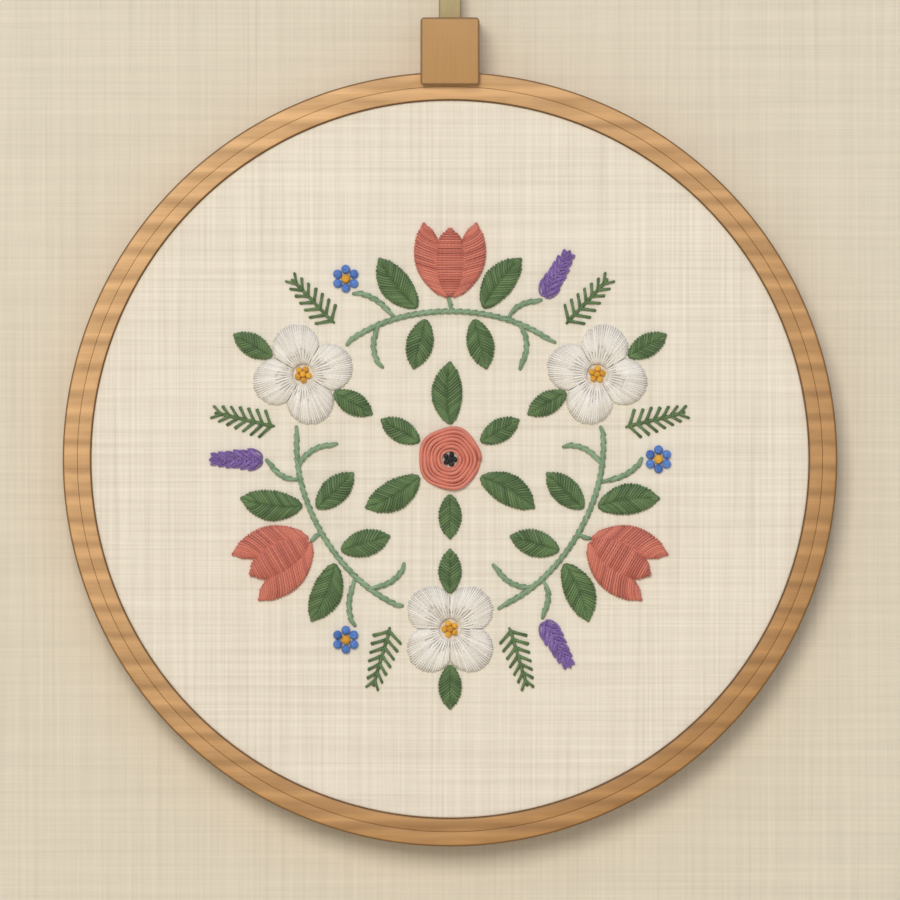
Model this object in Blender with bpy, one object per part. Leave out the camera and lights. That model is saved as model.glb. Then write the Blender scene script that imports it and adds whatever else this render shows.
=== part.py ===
"""Hoop embroidery art: linen stretched in a round wooden hoop, with a hanging tape.

Everything is modelled flat on the hoop's own plane, where +X is right, +Y is up and +Z
comes out of the front. One empty then stands that plane upright, so the finished art
faces -Y and its hanging point, the inside top of the tape's eye, is at the world origin.
"""
import math
from collections import namedtuple

import bmesh
import bpy
from mathutils import Matrix, Vector

# Driving sizes, in metres
GAP = 0.0003                 # clearance between two pieces that touch
CLOTH_WINDOW_R = 0.0762      # radius of the cloth that shows, a 6 inch hoop
WOOD_WIDTH = 0.0058          # wood seen from the front, both bent strips together
INNER_STRIP_WIDTH = 0.0025   # the inner of the two bent strips
HOOP_DEPTH = 0.0095
HOOP_EDGE_R = 0.0006         # rounding on the hoop's outer edges
CLOTH = 0.0010               # thickness of the linen
CLOTH_RECESS = 0.0008        # the linen's face lies this far behind the hoop's front
STRETCHER_WIDTH = 0.0040     # the hidden ring that the linen is drawn over
SKIRT_STOP = 0.0004          # the trimmed linen ends this far inside the back
STRETCHER_EDGE_R = 0.0010    # easing where the linen turns over the hidden ring

BLOCK_WIDTH = 0.0125
BLOCK_BOTTOM = 0.0793        # height above the hoop's centre
BLOCK_TOP = 0.0936
BLOCK_LIP = 0.0015           # thickness of the lip in front of the hoop
BLOCK_CORNER_R = 0.0008
BLOCK_EDGE = 0.0002
SLOT_DEPTH = 0.0060
CUTTER_MARGIN = 0.0010       # how far a cutter runs past the block

TAPE_WIDTH = 0.0047
TAPE = 0.0010                # thickness of the tape
TAPE_STRAIGHT = 0.0050       # tape above the block before it turns
TAPE_TURN = 0.0120           # height of the quarter turn
EYE_SHOULDER = 0.0090        # height over which the two legs part
EYE_INNER_R = 0.0035
TURN_PARTS = 8               # straight lengths that stand for the turn, shoulder and eye
SHOULDER_PARTS = 6
EYE_PARTS = 10

# Sizes that follow from them
HALF_DEPTH = HOOP_DEPTH / 2
RING_INNER_R = CLOTH_WINDOW_R + GAP / 2
RING_OUTER_R = RING_INNER_R + WOOD_WIDTH
STRIP_LINE_R = RING_INNER_R + INNER_STRIP_WIDTH
CLOTH_OUTER_R = RING_INNER_R - GAP
CLOTH_INNER_R = CLOTH_OUTER_R - CLOTH
CLOTH_FACE = HALF_DEPTH - CLOTH_RECESS
CLOTH_BACK = CLOTH_FACE - CLOTH
STRETCHER_OUTER_R = CLOTH_INNER_R - GAP
STRETCHER_INNER_R = STRETCHER_OUTER_R - STRETCHER_WIDTH
STRETCHER_FRONT = CLOTH_BACK - GAP
BLOCK_FRONT = HALF_DEPTH + GAP + BLOCK_LIP
TURN_START = BLOCK_TOP + TAPE_STRAIGHT
TURN_END = TURN_START + TAPE_TURN
EYE_CENTRE = TURN_END + EYE_SHOULDER
HANG_DROP = EYE_CENTRE + EYE_INNER_R     # from the hanging point to the hoop's centre

# Embroidery: a wreath of three alike sectors round a small woven rose
RING_STEPS = 84
SECTORS = 3
SECTOR_TURN = 360 / SECTORS
STITCH_BASE = CLOTH_FACE + GAP
VINE_R = 0.0324              # mean radius of the waving vine
VINE_WAVE = 0.0010
VINE_SWING = 42              # degrees each side of a tulip
VINE_PARTS = 20              # straight lengths that stand for its curve
STEM_HALF_WIDTH = 0.00072
STEM_HEIGHT = 0.0009
BRANCH_HEIGHT = 0.00085
BRANCH_PARTS = 5
LEAF_PARTS = 6
SPRIG_TIP = 0.0003
FLOWER_R = 0.0360            # circle that the open flowers are centred on
FLOWER_SWING = 60            # degrees from a tulip to the next open flower
FLOWER_PETAL_R = 0.0106
FLOWER_NOTCH = 0.58          # share of the petals' reach that is left between two of them
FLOWER_EYE_R = 0.0024
FLOWER_RIM = 0.0004          # heights of the petals at the rim, in the valleys and at the eye
FLOWER_VALLEY = 0.0006
FLOWER_CROWN = 0.0011
FLOWER_DIP = 0.0005
FLOWER_SEGMENTS = 36
KNOT_R = 0.0010              # one berry, a large wound knot
EYE_KNOT_R = 0.0007
ROSE_KNOT_R = 0.0006
ROSE_R = 0.0070
ROSE_LOBE = 0.05
ROSE_EYE_R = 0.0020
ROSE_EYE_HEIGHT = 0.0013
ROSE_SEGMENTS = 25

Colour = namedtuple("Colour", "red green blue roughness")
Placed = namedtuple("Placed", "form swing radius lean")
Stem = namedtuple("Stem", "swing radius tip_swing tip_radius bow")
Petal = namedtuple("Petal", "x y lean length half_width height bend")
Leaf = namedtuple("Leaf", "length half_width height bend")
Sprig = namedtuple("Sprig", "length half_width height tufts peak notch")
Heap = namedtuple("Heap", "colour knots knot_r height")
RoseStep = namedtuple("RoseStep", "share height")

COLOURS = {
    "bent_wood": Colour(0.52, 0.31, 0.14, 0.55),
    "block_wood": Colour(0.50, 0.28, 0.12, 0.55),
    "linen_cloth": Colour(0.80, 0.72, 0.58, 0.92),
    "cotton_tape": Colour(0.45, 0.36, 0.18, 0.90),
    "sage_thread": Colour(0.26, 0.40, 0.25, 0.60),
    "leaf_thread": Colour(0.12, 0.22, 0.08, 0.60),
    "coral_thread": Colour(0.64, 0.19, 0.14, 0.55),
    "white_thread": Colour(0.86, 0.84, 0.80, 0.55),
    "yellow_thread": Colour(0.87, 0.48, 0.02, 0.55),
    "blue_thread": Colour(0.09, 0.25, 0.69, 0.55),
    "purple_thread": Colour(0.25, 0.15, 0.45, 0.55),
    "black_thread": Colour(0.01, 0.011, 0.015, 0.50),
}

LEAVES = {
    "broad_leaf": Leaf(0.0128, 0.0031, 0.0010, 0.0014),
    "inner_leaf": Leaf(0.0104, 0.0027, 0.0010, 0.0),
    "short_leaf": Leaf(0.0090, 0.0023, 0.0009, 0.0),
}

FERN = Sprig(0.0135, 0.0030, 0.0008, 6, 0.85, 0.35)
HEATHER = Sprig(0.0130, 0.0026, 0.0010, 5, 0.5, 0.6)

HEAPS = {
    "flower_knots": Heap("yellow_thread", 5, EYE_KNOT_R, 0.0012),
    "berries": Heap("blue_thread", 6, KNOT_R, 0.0014),
    "rose_knots": Heap("black_thread", 5, ROSE_KNOT_R, 0.0014),
}

ROSE_STEPS = (
    RoseStep(1.00, 0.0),
    RoseStep(1.00, 0.0006),
    RoseStep(0.84, 0.0012),
    RoseStep(0.72, 0.0009),
    RoseStep(0.56, 0.0015),
    RoseStep(0.44, 0.0011),
)

TULIP_PETALS = (
    Petal(-0.0008, 0.0000, 17, 0.0162, 0.0031, 0.0011, 0.0020),
    Petal(0.0008, 0.0000, -17, 0.0162, 0.0031, 0.0011, -0.0020),
    Petal(0.0000, 0.0006, 0, 0.0140, 0.0036, 0.0013, 0.0),
)

VINE_STEMS = (
    Stem(0, 0.0314, 0, 0.0341, 0.0),
    Stem(22, 0.0324, 30, 0.0409, 0.0012),
    Stem(-22, 0.0324, -30, 0.0386, -0.0012),
    Stem(27, 0.0324, 37, 0.0242, 0.0016),
    Stem(-27, 0.0324, -37, 0.0242, -0.0016),
)

SECTOR_MOTIFS = (
    Placed("tulip", 0, 0.0345, 0),
    Placed("open_flower", FLOWER_SWING, FLOWER_R, 0),
    Placed("flower_knots", FLOWER_SWING, FLOWER_R, 0),
    Placed("broad_leaf", -12.5, 0.0331, -25),
    Placed("broad_leaf", 12.5, 0.0331, 25),
    Placed("inner_leaf", -10, 0.0299, 204),
    Placed("inner_leaf", 10, 0.0299, 156),
    Placed("short_leaf", FLOWER_SWING, 0.0438, 0),
    Placed("short_leaf", FLOWER_SWING, 0.0282, 180),
    Placed("fern", 40.5, 0.0380, 3),
    Placed("fern", -40.5, 0.0380, -3),
    Placed("berries", 30, 0.0442, 0),
    Placed("heather", -30, 0.0400, 0),
)

CENTRE_MOTIFS = (
    Placed("broad_leaf", 0, 0.0077, 0),
    Placed("broad_leaf", 120, 0.0077, 0),
    Placed("broad_leaf", 240, 0.0077, 0),
    Placed("short_leaf", 60, 0.0077, 0),
    Placed("short_leaf", 180, 0.0077, 0),
    Placed("short_leaf", 300, 0.0077, 0),
)


def clear_scene():
    """Remove what the file holds before the model is made."""
    for item in list(bpy.data.objects):
        bpy.data.objects.remove(item, do_unlink=True)


def make_material(name):
    """Return the named plain material, made once."""
    material = bpy.data.materials.get(name)
    if material is None:
        colour = COLOURS[name]
        material = bpy.data.materials.new(name)
        material.use_nodes = True
        shader = material.node_tree.nodes["Principled BSDF"]
        shader.inputs["Base Color"].default_value = (colour.red, colour.green, colour.blue, 1.0)
        shader.inputs["Roughness"].default_value = colour.roughness
        shader.inputs["Metallic"].default_value = 0.0
    return material


def mesh_from(bm, name, material_name, smooth=True):
    """Turn a finished bmesh into a mesh with its material."""
    bmesh.ops.recalc_face_normals(bm, faces=bm.faces)
    mesh = bpy.data.meshes.new(name)
    bm.to_mesh(mesh)
    bm.free()
    if smooth:
        mesh.shade_smooth()
        mesh.set_sharp_from_angle(angle=math.radians(40))
    mesh.materials.append(make_material(material_name))
    return mesh


def place(name, mesh, parent, location=(0, 0, 0), turn=0.0):
    """Put a mesh in the scene as an object, turned by so many degrees on the hoop's plane."""
    item = bpy.data.objects.new(name, mesh)
    bpy.context.scene.collection.objects.link(item)
    item.location = location
    item.rotation_euler = (0, 0, math.radians(turn))
    item.parent = parent
    return item


def hide_helper(item):
    """Mark an object as a cutter, which is no piece of the model."""
    item.hide_render = True
    item.display_type = "WIRE"


def polar(angle, radius):
    """Return the point at an angle in degrees, anticlockwise from straight up."""
    turned = math.radians(90 + angle)
    return Vector((radius * math.cos(turned), radius * math.sin(turned), 0))


def smooth_step(value):
    """Rise from 0 to 1 with level ends."""
    return value * value * (3 - 2 * value)


def corner(radius, height, size, start):
    """Return the three points of a quarter round whose centre is given, in a turned profile."""
    angles = (start, start + 45, start + 90)
    return [(radius + size * math.cos(math.radians(a)), height + size * math.sin(math.radians(a)))
            for a in angles]


def turned_ring(name, profile, material_name):
    """Spin a closed profile of (radius, height) points right round the hoop's axis."""
    bm = bmesh.new()
    verts = [bm.verts.new((radius, 0, height)) for radius, height in profile]
    edges = [bm.edges.new((verts[i - 1], verts[i])) for i in range(len(verts))]
    bmesh.ops.spin(bm, geom=verts + edges, cent=(0, 0, 0), axis=(0, 0, 1), dvec=(0, 0, 0),
                   angle=math.tau, steps=RING_STEPS, use_merge=True)
    bmesh.ops.remove_doubles(bm, verts=bm.verts, dist=1e-6)
    return mesh_from(bm, name, material_name)


def outer_strip_profile():
    """Profile of the outer bent strip, rounded on its two outer edges."""
    inner = STRIP_LINE_R + GAP
    round_r = RING_OUTER_R - HOOP_EDGE_R
    round_z = HALF_DEPTH - HOOP_EDGE_R
    back = corner(round_r, -round_z, HOOP_EDGE_R, -90)
    front = corner(round_r, round_z, HOOP_EDGE_R, 0)
    return [(inner, -HALF_DEPTH)] + back + front + [(inner, HALF_DEPTH)]


def inner_strip_profile():
    """Profile of the inner bent strip, rounded on the edges that face the linen."""
    round_r = RING_INNER_R + HOOP_EDGE_R
    round_z = HALF_DEPTH - HOOP_EDGE_R
    front = corner(round_r, round_z, HOOP_EDGE_R, 90)
    back = corner(round_r, -round_z, HOOP_EDGE_R, 180)
    return [(STRIP_LINE_R, HALF_DEPTH)] + front + back + [(STRIP_LINE_R, -HALF_DEPTH)]


def stretcher_profile():
    """Profile of the hidden ring, eased where the linen turns over it."""
    front = corner(STRETCHER_OUTER_R - STRETCHER_EDGE_R, STRETCHER_FRONT - STRETCHER_EDGE_R,
                   STRETCHER_EDGE_R, 0)
    return [(STRETCHER_INNER_R, -HALF_DEPTH), (STRETCHER_OUTER_R, -HALF_DEPTH)] + front + [
        (STRETCHER_INNER_R, STRETCHER_FRONT)]


def make_linen():
    """One sheet: a flat drum head that turns over the hidden ring and runs back between the rings."""
    skirt_end = -HALF_DEPTH + SKIRT_STOP
    shoulder = corner(CLOTH_INNER_R, CLOTH_BACK, CLOTH, 0)
    profile = [(0, CLOTH_BACK), (CLOTH_INNER_R, CLOTH_BACK), (CLOTH_INNER_R, skirt_end),
               (CLOTH_OUTER_R, skirt_end)] + shoulder + [(0, CLOTH_FACE)]
    bm = bmesh.new()
    verts = [bm.verts.new((radius, 0, height)) for radius, height in profile]
    edges = [bm.edges.new(pair) for pair in zip(verts, verts[1:])]
    bmesh.ops.spin(bm, geom=verts + edges, cent=(0, 0, 0), axis=(0, 0, 1), dvec=(0, 0, 0),
                   angle=math.tau, steps=RING_STEPS, use_merge=True)
    bmesh.ops.remove_doubles(bm, verts=bm.verts, dist=1e-6)
    return mesh_from(bm, "linen", "linen_cloth")


def make_block_body():
    """The clamp block before its seat and slot are cut, with four rounded corners."""
    height = BLOCK_TOP - BLOCK_BOTTOM
    depth = BLOCK_FRONT + HALF_DEPTH
    centre = Vector((0, (BLOCK_TOP + BLOCK_BOTTOM) / 2, (BLOCK_FRONT - HALF_DEPTH) / 2))
    bm = bmesh.new()
    bmesh.ops.create_cube(bm, size=1.0,
                          matrix=Matrix.LocRotScale(centre, None, (BLOCK_WIDTH, height, depth)))
    corners = [edge for edge in bm.edges
               if abs((edge.verts[0].co - edge.verts[1].co).z) > depth / 2]
    bmesh.ops.bevel(bm, geom=corners, offset=BLOCK_CORNER_R, segments=3, profile=0.5,
                    affect="EDGES", material=-1)
    rims = [edge for edge in bm.edges
            if abs(edge.verts[0].co.z - BLOCK_FRONT) < 1e-6
            and abs(edge.verts[1].co.z - BLOCK_FRONT) < 1e-6]
    bmesh.ops.bevel(bm, geom=rims, offset=BLOCK_EDGE, segments=1, profile=0.5,
                    affect="EDGES", material=-1)
    return mesh_from(bm, "clamp_block", "block_wood", smooth=False)


def cut(item, cutter):
    """Subtract a cutter from an object with a live modifier."""
    modifier = item.modifiers.new("cut_" + cutter.name, "BOOLEAN")
    modifier.operation = "DIFFERENCE"
    modifier.object = cutter
    hide_helper(cutter)


def make_seat_cutter():
    """A disc that leaves the block a curved underside and a lip in front of the hoop."""
    top = HALF_DEPTH + GAP
    bottom = -HALF_DEPTH - CUTTER_MARGIN
    bm = bmesh.new()
    bmesh.ops.create_cone(bm, cap_ends=True, segments=2 * RING_STEPS,
                          radius1=RING_OUTER_R + GAP, radius2=RING_OUTER_R + GAP,
                          depth=top - bottom, matrix=Matrix.Translation((0, 0, (top + bottom) / 2)))
    return mesh_from(bm, "seat_cutter", "block_wood", smooth=False)


def make_slot_cutter():
    """The slot in the block's top that takes both ends of the tape."""
    size = (TAPE_WIDTH + 2 * GAP, 2 * SLOT_DEPTH, 2 * TAPE + 3 * GAP)
    bm = bmesh.new()
    bmesh.ops.create_cube(bm, size=1.0,
                          matrix=Matrix.LocRotScale(Vector((0, BLOCK_TOP, 0)), None, size))
    return mesh_from(bm, "slot_cutter", "block_wood", smooth=False)


def sweep(name, sections, material_name):
    """Extrude the first section's face through all the others, which have as many points."""
    bm = bmesh.new()
    face = bm.faces.new([bm.verts.new(point) for point in sections[0]])
    for index, section in enumerate(sections[1:]):
        grown = bmesh.ops.extrude_face_region(bm, geom=[face])
        if index:
            bmesh.ops.delete(bm, geom=[face], context="FACES_ONLY")
        face = next(item for item in grown["geom"] if isinstance(item, bmesh.types.BMFace))
        for vert, point in zip(face.verts, section):
            vert.co = point
    return mesh_from(bm, name, material_name)


def tape_leg(side, height):
    """Return the middle of one leg of the tape and the way it faces, at a height.

    The legs lie flat behind one another at the block, make a quarter turn together, and
    then part to left and right round the eye.
    """
    turn = smooth_step(min(max((height - TURN_START) / TAPE_TURN, 0), 1)) * math.pi / 2
    parted = smooth_step(min(max((height - TURN_END) / EYE_SHOULDER, 0), 1))
    closed = (TAPE + GAP) / 2
    reach = closed + (EYE_INNER_R + TAPE / 2 - closed) * parted
    facing = side * Vector((math.sin(turn), 0, math.cos(turn)))
    return reach * facing + Vector((0, height, 0)), facing


def tape_route():
    """Return the middle points and facings of the whole tape, from its front end to its back end."""
    start = BLOCK_TOP - SLOT_DEPTH + GAP
    heights = [start, BLOCK_TOP, TURN_START]
    heights += [TURN_START + TAPE_TURN * (part + 1) / TURN_PARTS for part in range(TURN_PARTS)]
    heights += [TURN_END + EYE_SHOULDER * (part + 1) / SHOULDER_PARTS
                for part in range(SHOULDER_PARTS)]
    radius = EYE_INNER_R + TAPE / 2
    route = [tape_leg(1, height) for height in heights]
    for part in range(1, EYE_PARTS):
        angle = math.pi * part / EYE_PARTS
        facing = Vector((math.cos(angle), math.sin(angle), 0))
        route.append((Vector((0, EYE_CENTRE, 0)) + radius * facing, facing))
    route += [tape_leg(-1, height) for height in reversed(heights)]
    return route


def make_tape():
    """The hanging tape, one strip that goes up, round the eye and down again."""
    route = tape_route()
    last = len(route) - 1
    sections = []
    for index, (middle, facing) in enumerate(route):
        along = route[min(index + 1, last)][0] - route[max(index - 1, 0)][0]
        across = along.cross(facing).normalized() * TAPE_WIDTH / 2
        outward = across.cross(along).normalized() * TAPE / 2
        sections.append([middle - across - outward, middle + across - outward,
                         middle + across + outward, middle - across + outward])
    return sweep("hanging_tape", sections, "cotton_tape")


def raised_strip(name, stations, material_name):
    """Low rounded stitching along a line, flat below.

    A station is (point, half width, height). The section is a low arch: its sides lean in
    a little to half the height, and its top is flat over the middle.
    """
    last = len(stations) - 1
    sections = []
    for index, (point, half, height) in enumerate(stations):
        along = stations[min(index + 1, last)][0] - stations[max(index - 1, 0)][0]
        side = Vector((-along.y, along.x, 0)).normalized() * half
        up = Vector((0, 0, height))
        sections.append([point - side, point - side * 0.94 + up * 0.5, point - side * 0.42 + up,
                         point + side * 0.42 + up, point + side * 0.94 + up * 0.5, point + side])
    return sweep(name, sections, material_name)


def leaf_stations(leaf):
    """Stations of a pointed oval that starts at the origin and grows along +Y."""
    stations = []
    for part in range(LEAF_PARTS + 1):
        share = part / LEAF_PARTS
        fullness = math.sin(math.pi * (0.05 + 0.91 * share)) ** 0.8
        point = Vector((leaf.bend * (share * share - share) * 2, leaf.length * share, 0))
        stations.append((point, leaf.half_width * fullness, leaf.height * (0.45 + 0.55 * fullness)))
    return stations


def tufted_stations(sprig):
    """Stations of a sprig with one tuft for each pair of fronds or buds.

    A tuft is widest at its peak share, and the notch share of its width is left between
    two tufts. The whole sprig narrows to half its width at the tip.
    """
    stations = []
    for tuft in range(sprig.tufts):
        for share, width in ((tuft / sprig.tufts, sprig.notch),
                             ((tuft + sprig.peak) / sprig.tufts, 1.0)):
            half = sprig.half_width * (1 - 0.5 * share) * width
            height = sprig.height * (0.7 + 0.3 * width)
            stations.append((Vector((0, sprig.length * share, 0)), half, height))
    stations.append((Vector((0, sprig.length, 0)), SPRIG_TIP, sprig.height / 2))
    return stations


def united(name, meshes, material_name):
    """Join overlapping closed meshes into one body with Boolean unions."""
    pieces = [place(f"{name}_piece", mesh, None) for mesh in meshes]
    base = pieces[0]
    for piece in pieces[1:]:
        modifier = base.modifiers.new("join", "BOOLEAN")
        modifier.operation = "UNION"
        modifier.object = piece
    graph = bpy.context.evaluated_depsgraph_get()
    mesh = bpy.data.meshes.new_from_object(base.evaluated_get(graph))
    mesh.name = name
    mesh.materials.clear()
    mesh.materials.append(make_material(material_name))
    for piece in pieces:
        bpy.data.objects.remove(piece, do_unlink=True)
    return mesh


def make_tulip():
    """A cup of three satin petals, with its foot at the origin."""
    petals = []
    for petal in TULIP_PETALS:
        strip = raised_strip("tulip_petal", leaf_stations(petal), "coral_thread")
        strip.transform(Matrix.Translation((petal.x, petal.y, 0))
                        @ Matrix.Rotation(math.radians(petal.lean), 4, "Z"))
        petals.append(strip)
    return united("tulip", petals, "coral_thread")


def vine_radius(swing):
    """Return the vine's radius at so many degrees from the tulip."""
    return VINE_R - VINE_WAVE * math.cos(math.radians(3 * swing))


def make_vine():
    """One waving vine with the stems and curls that branch from it."""
    swings = [VINE_SWING * (2 * part / VINE_PARTS - 1) for part in range(VINE_PARTS + 1)]
    main = [(polar(swing, vine_radius(swing)), STEM_HALF_WIDTH, STEM_HEIGHT) for swing in swings]
    strips = [raised_strip("vine_main", main, "sage_thread")]
    for stem in VINE_STEMS:
        foot = polar(stem.swing, stem.radius)
        tip = polar(stem.tip_swing, stem.tip_radius)
        side = (tip - foot).cross(Vector((0, 0, 1))).normalized() * stem.bow
        stations = []
        for part in range(BRANCH_PARTS + 1):
            share = part / BRANCH_PARTS
            point = foot.lerp(tip, share) + side * 4 * share * (1 - share)
            stations.append((point, STEM_HALF_WIDTH * (1 - 0.2 * share), BRANCH_HEIGHT))
        strips.append(raised_strip("vine_stem", stations, "sage_thread"))
    return united("vine", strips, "sage_thread")


def rosette(name, material_name, segments, rings, open_centre=False):
    """Stack rings into a low round body, drawn out one from the last.

    Each ring is a pair of functions of the angle: its radius and its height. An open
    centre leaves a hole, otherwise the first and last rings are closed by a face.
    """
    bm = bmesh.new()
    ring = bmesh.ops.create_circle(bm, segments=segments, radius=1.0)["verts"]
    edges = list(bm.edges)
    foot_edges = list(edges)
    for index, (radius_at, height_at) in enumerate(rings):
        if index:
            grown = bmesh.ops.extrude_edge_only(bm, edges=edges)["geom"]
            edges = [item for item in grown if isinstance(item, bmesh.types.BMEdge)]
            ring = [item for item in grown if isinstance(item, bmesh.types.BMVert)]
        for vert in ring:
            angle = math.atan2(vert.co.y, vert.co.x)
            radius = radius_at(angle)
            vert.co = (radius * math.cos(angle), radius * math.sin(angle), height_at(angle))
    if open_centre:
        bmesh.ops.bridge_loops(bm, edges=edges + foot_edges)
    else:
        bmesh.ops.contextual_create(bm, geom=edges)
        bmesh.ops.contextual_create(bm, geom=foot_edges)
    return mesh_from(bm, name, material_name)


def level(size):
    """Return a ring's radius or height that is the same all round."""
    return lambda angle: size


def scaled(function, share):
    """Return a ring function that is a share of another."""
    return lambda angle: function(angle) * share


def make_open_flower():
    """Four broad satin petals round an open eye, the petals on the diagonals."""
    def outline(angle):
        lobe = abs(math.sin(2 * angle)) ** 0.7
        return FLOWER_PETAL_R * (FLOWER_NOTCH + (1 - FLOWER_NOTCH) * lobe)

    def crown(angle):
        return FLOWER_VALLEY + (FLOWER_CROWN - FLOWER_VALLEY) * abs(math.sin(2 * angle))

    rings = ((outline, level(0.0)), (scaled(outline, 0.98), level(FLOWER_RIM)),
             (scaled(outline, 0.72), crown), (level(FLOWER_EYE_R), level(FLOWER_DIP)),
             (level(FLOWER_EYE_R), level(0.0)))
    return rosette("open_flower", "white_thread", FLOWER_SEGMENTS, rings, open_centre=True)


def make_knot_heap(name):
    """A ring of round knots that touch each other, heaped round one more."""
    heap = HEAPS[name]
    reach = heap.knot_r / math.sin(math.pi / heap.knots)

    def outline(angle):
        pitch = math.tau / heap.knots
        off = (angle + pitch / 2) % pitch - pitch / 2
        rest = heap.knot_r ** 2 - (reach * math.sin(off)) ** 2
        return reach * math.cos(off) + math.sqrt(max(rest, 0))

    rings = ((scaled(outline, 0.90), level(0.0)), (outline, level(heap.height * 0.45)),
             (scaled(outline, 0.74), level(heap.height * 0.88)),
             (scaled(outline, 0.40), level(heap.height * 0.68)),
             (level(heap.knot_r * 0.4), level(heap.height)))
    return rosette(name, heap.colour, 4 * heap.knots, rings)


def make_rose():
    """A woven rose: five wound lobes that rise in steps to an open eye."""
    def outline(angle):
        return ROSE_R * (1 - ROSE_LOBE + ROSE_LOBE * math.cos(5 * angle))

    rings = [(scaled(outline, step.share), level(step.height)) for step in ROSE_STEPS]
    rings += [(level(ROSE_EYE_R), level(ROSE_EYE_HEIGHT)), (level(ROSE_EYE_R), level(0.0))]
    return rosette("woven_rose", "coral_thread", ROSE_SEGMENTS, rings, open_centre=True)


def motif_meshes():
    """Return every motif's mesh by its form's name."""
    meshes = {form: raised_strip(form, leaf_stations(leaf), "leaf_thread")
              for form, leaf in LEAVES.items()}
    meshes["fern"] = raised_strip("fern", tufted_stations(FERN), "leaf_thread")
    meshes["heather"] = raised_strip("heather", tufted_stations(HEATHER), "purple_thread")
    meshes["tulip"] = make_tulip()
    meshes["open_flower"] = make_open_flower()
    meshes["woven_rose"] = make_rose()
    for form in HEAPS:
        meshes[form] = make_knot_heap(form)
    return meshes


def place_motifs(motifs, meshes, counts, sector_turn, plane):
    """Place a table of motifs, turned on by one sector, and number them by form."""
    for motif in motifs:
        counts[motif.form] = counts.get(motif.form, 0) + 1
        spot = polar(sector_turn + motif.swing, motif.radius)
        location = (spot.x, spot.y, STITCH_BASE)
        place(f"{motif.form}_{counts[motif.form]}", meshes[motif.form], plane, location,
              sector_turn + motif.swing + motif.lean)


def build_hoop(plane):
    """The two bent strips, the hidden ring and the linen drawn over it."""
    place("outer_strip", turned_ring("outer_strip", outer_strip_profile(), "bent_wood"), plane)
    place("inner_strip", turned_ring("inner_strip", inner_strip_profile(), "bent_wood"), plane)
    place("stretcher_ring", turned_ring("stretcher_ring", stretcher_profile(), "bent_wood"), plane)
    place("linen", make_linen(), plane)


def build_hanger(plane):
    """The block at the top of the hoop and the tape that rises out of it."""
    block = place("clamp_block", make_block_body(), plane)
    cut(block, place("seat_cutter", make_seat_cutter(), plane))
    cut(block, place("slot_cutter", make_slot_cutter(), plane))
    place("hanging_tape", make_tape(), plane)


def build_embroidery(plane):
    """The wreath, sector by sector, and the rose in the middle."""
    meshes = motif_meshes()
    vine = make_vine()
    counts = {}
    for sector in range(SECTORS):
        turn = sector * SECTOR_TURN
        place(f"vine_{sector + 1}", vine, plane, (0, 0, STITCH_BASE), turn)
        place_motifs(SECTOR_MOTIFS, meshes, counts, turn, plane)
    place_motifs(CENTRE_MOTIFS, meshes, counts, 0, plane)
    for form in ("woven_rose", "rose_knots"):
        place(form, meshes[form], plane, (0, 0, STITCH_BASE))


def main():
    """Build the whole piece of art under the empty that stands it upright."""
    clear_scene()
    plane = bpy.data.objects.new("hoop_plane", None)
    bpy.context.scene.collection.objects.link(plane)
    plane.location = (0, 0, -HANG_DROP)
    plane.rotation_euler = (math.pi / 2, 0, 0)
    build_hoop(plane)
    build_hanger(plane)
    build_embroidery(plane)
    bpy.context.view_layer.update()


main()
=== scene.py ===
"""Looks of the hoop embroidery art: wood, linen, hanging tape and every stitch.

The pieces are modelled flat on the hoop's own plane, +X right, +Y up and +Z out of the
front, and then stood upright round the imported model.
"""
import logging
import math
import random
from dataclasses import dataclass, field
from enum import Enum
from typing import Callable, Sequence

import bmesh
import bpy
from mathutils import Matrix, Vector


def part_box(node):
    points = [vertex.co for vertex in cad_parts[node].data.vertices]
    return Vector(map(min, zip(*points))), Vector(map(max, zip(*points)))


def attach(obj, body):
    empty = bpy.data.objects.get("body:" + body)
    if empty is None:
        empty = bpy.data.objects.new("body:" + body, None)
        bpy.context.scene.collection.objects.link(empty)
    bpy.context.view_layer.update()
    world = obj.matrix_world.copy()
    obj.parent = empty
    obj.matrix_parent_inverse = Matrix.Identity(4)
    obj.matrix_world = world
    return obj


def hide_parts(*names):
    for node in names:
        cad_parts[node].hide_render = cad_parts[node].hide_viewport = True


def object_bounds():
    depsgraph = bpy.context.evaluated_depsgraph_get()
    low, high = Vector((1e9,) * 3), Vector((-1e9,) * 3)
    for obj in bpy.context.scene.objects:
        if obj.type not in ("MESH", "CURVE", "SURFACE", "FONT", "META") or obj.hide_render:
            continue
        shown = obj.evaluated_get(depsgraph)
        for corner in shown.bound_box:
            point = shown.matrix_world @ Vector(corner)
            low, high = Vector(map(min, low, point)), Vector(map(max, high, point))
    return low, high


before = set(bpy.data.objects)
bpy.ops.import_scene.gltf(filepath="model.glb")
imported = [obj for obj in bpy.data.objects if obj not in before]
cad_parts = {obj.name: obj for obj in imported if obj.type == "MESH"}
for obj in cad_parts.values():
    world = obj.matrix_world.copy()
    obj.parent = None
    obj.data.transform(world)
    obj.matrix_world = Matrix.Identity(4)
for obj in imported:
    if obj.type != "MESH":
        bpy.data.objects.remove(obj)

LOG = logging.getLogger("hoop_art")
CAD_LOW, CAD_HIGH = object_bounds()
BODY = "root"

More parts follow.
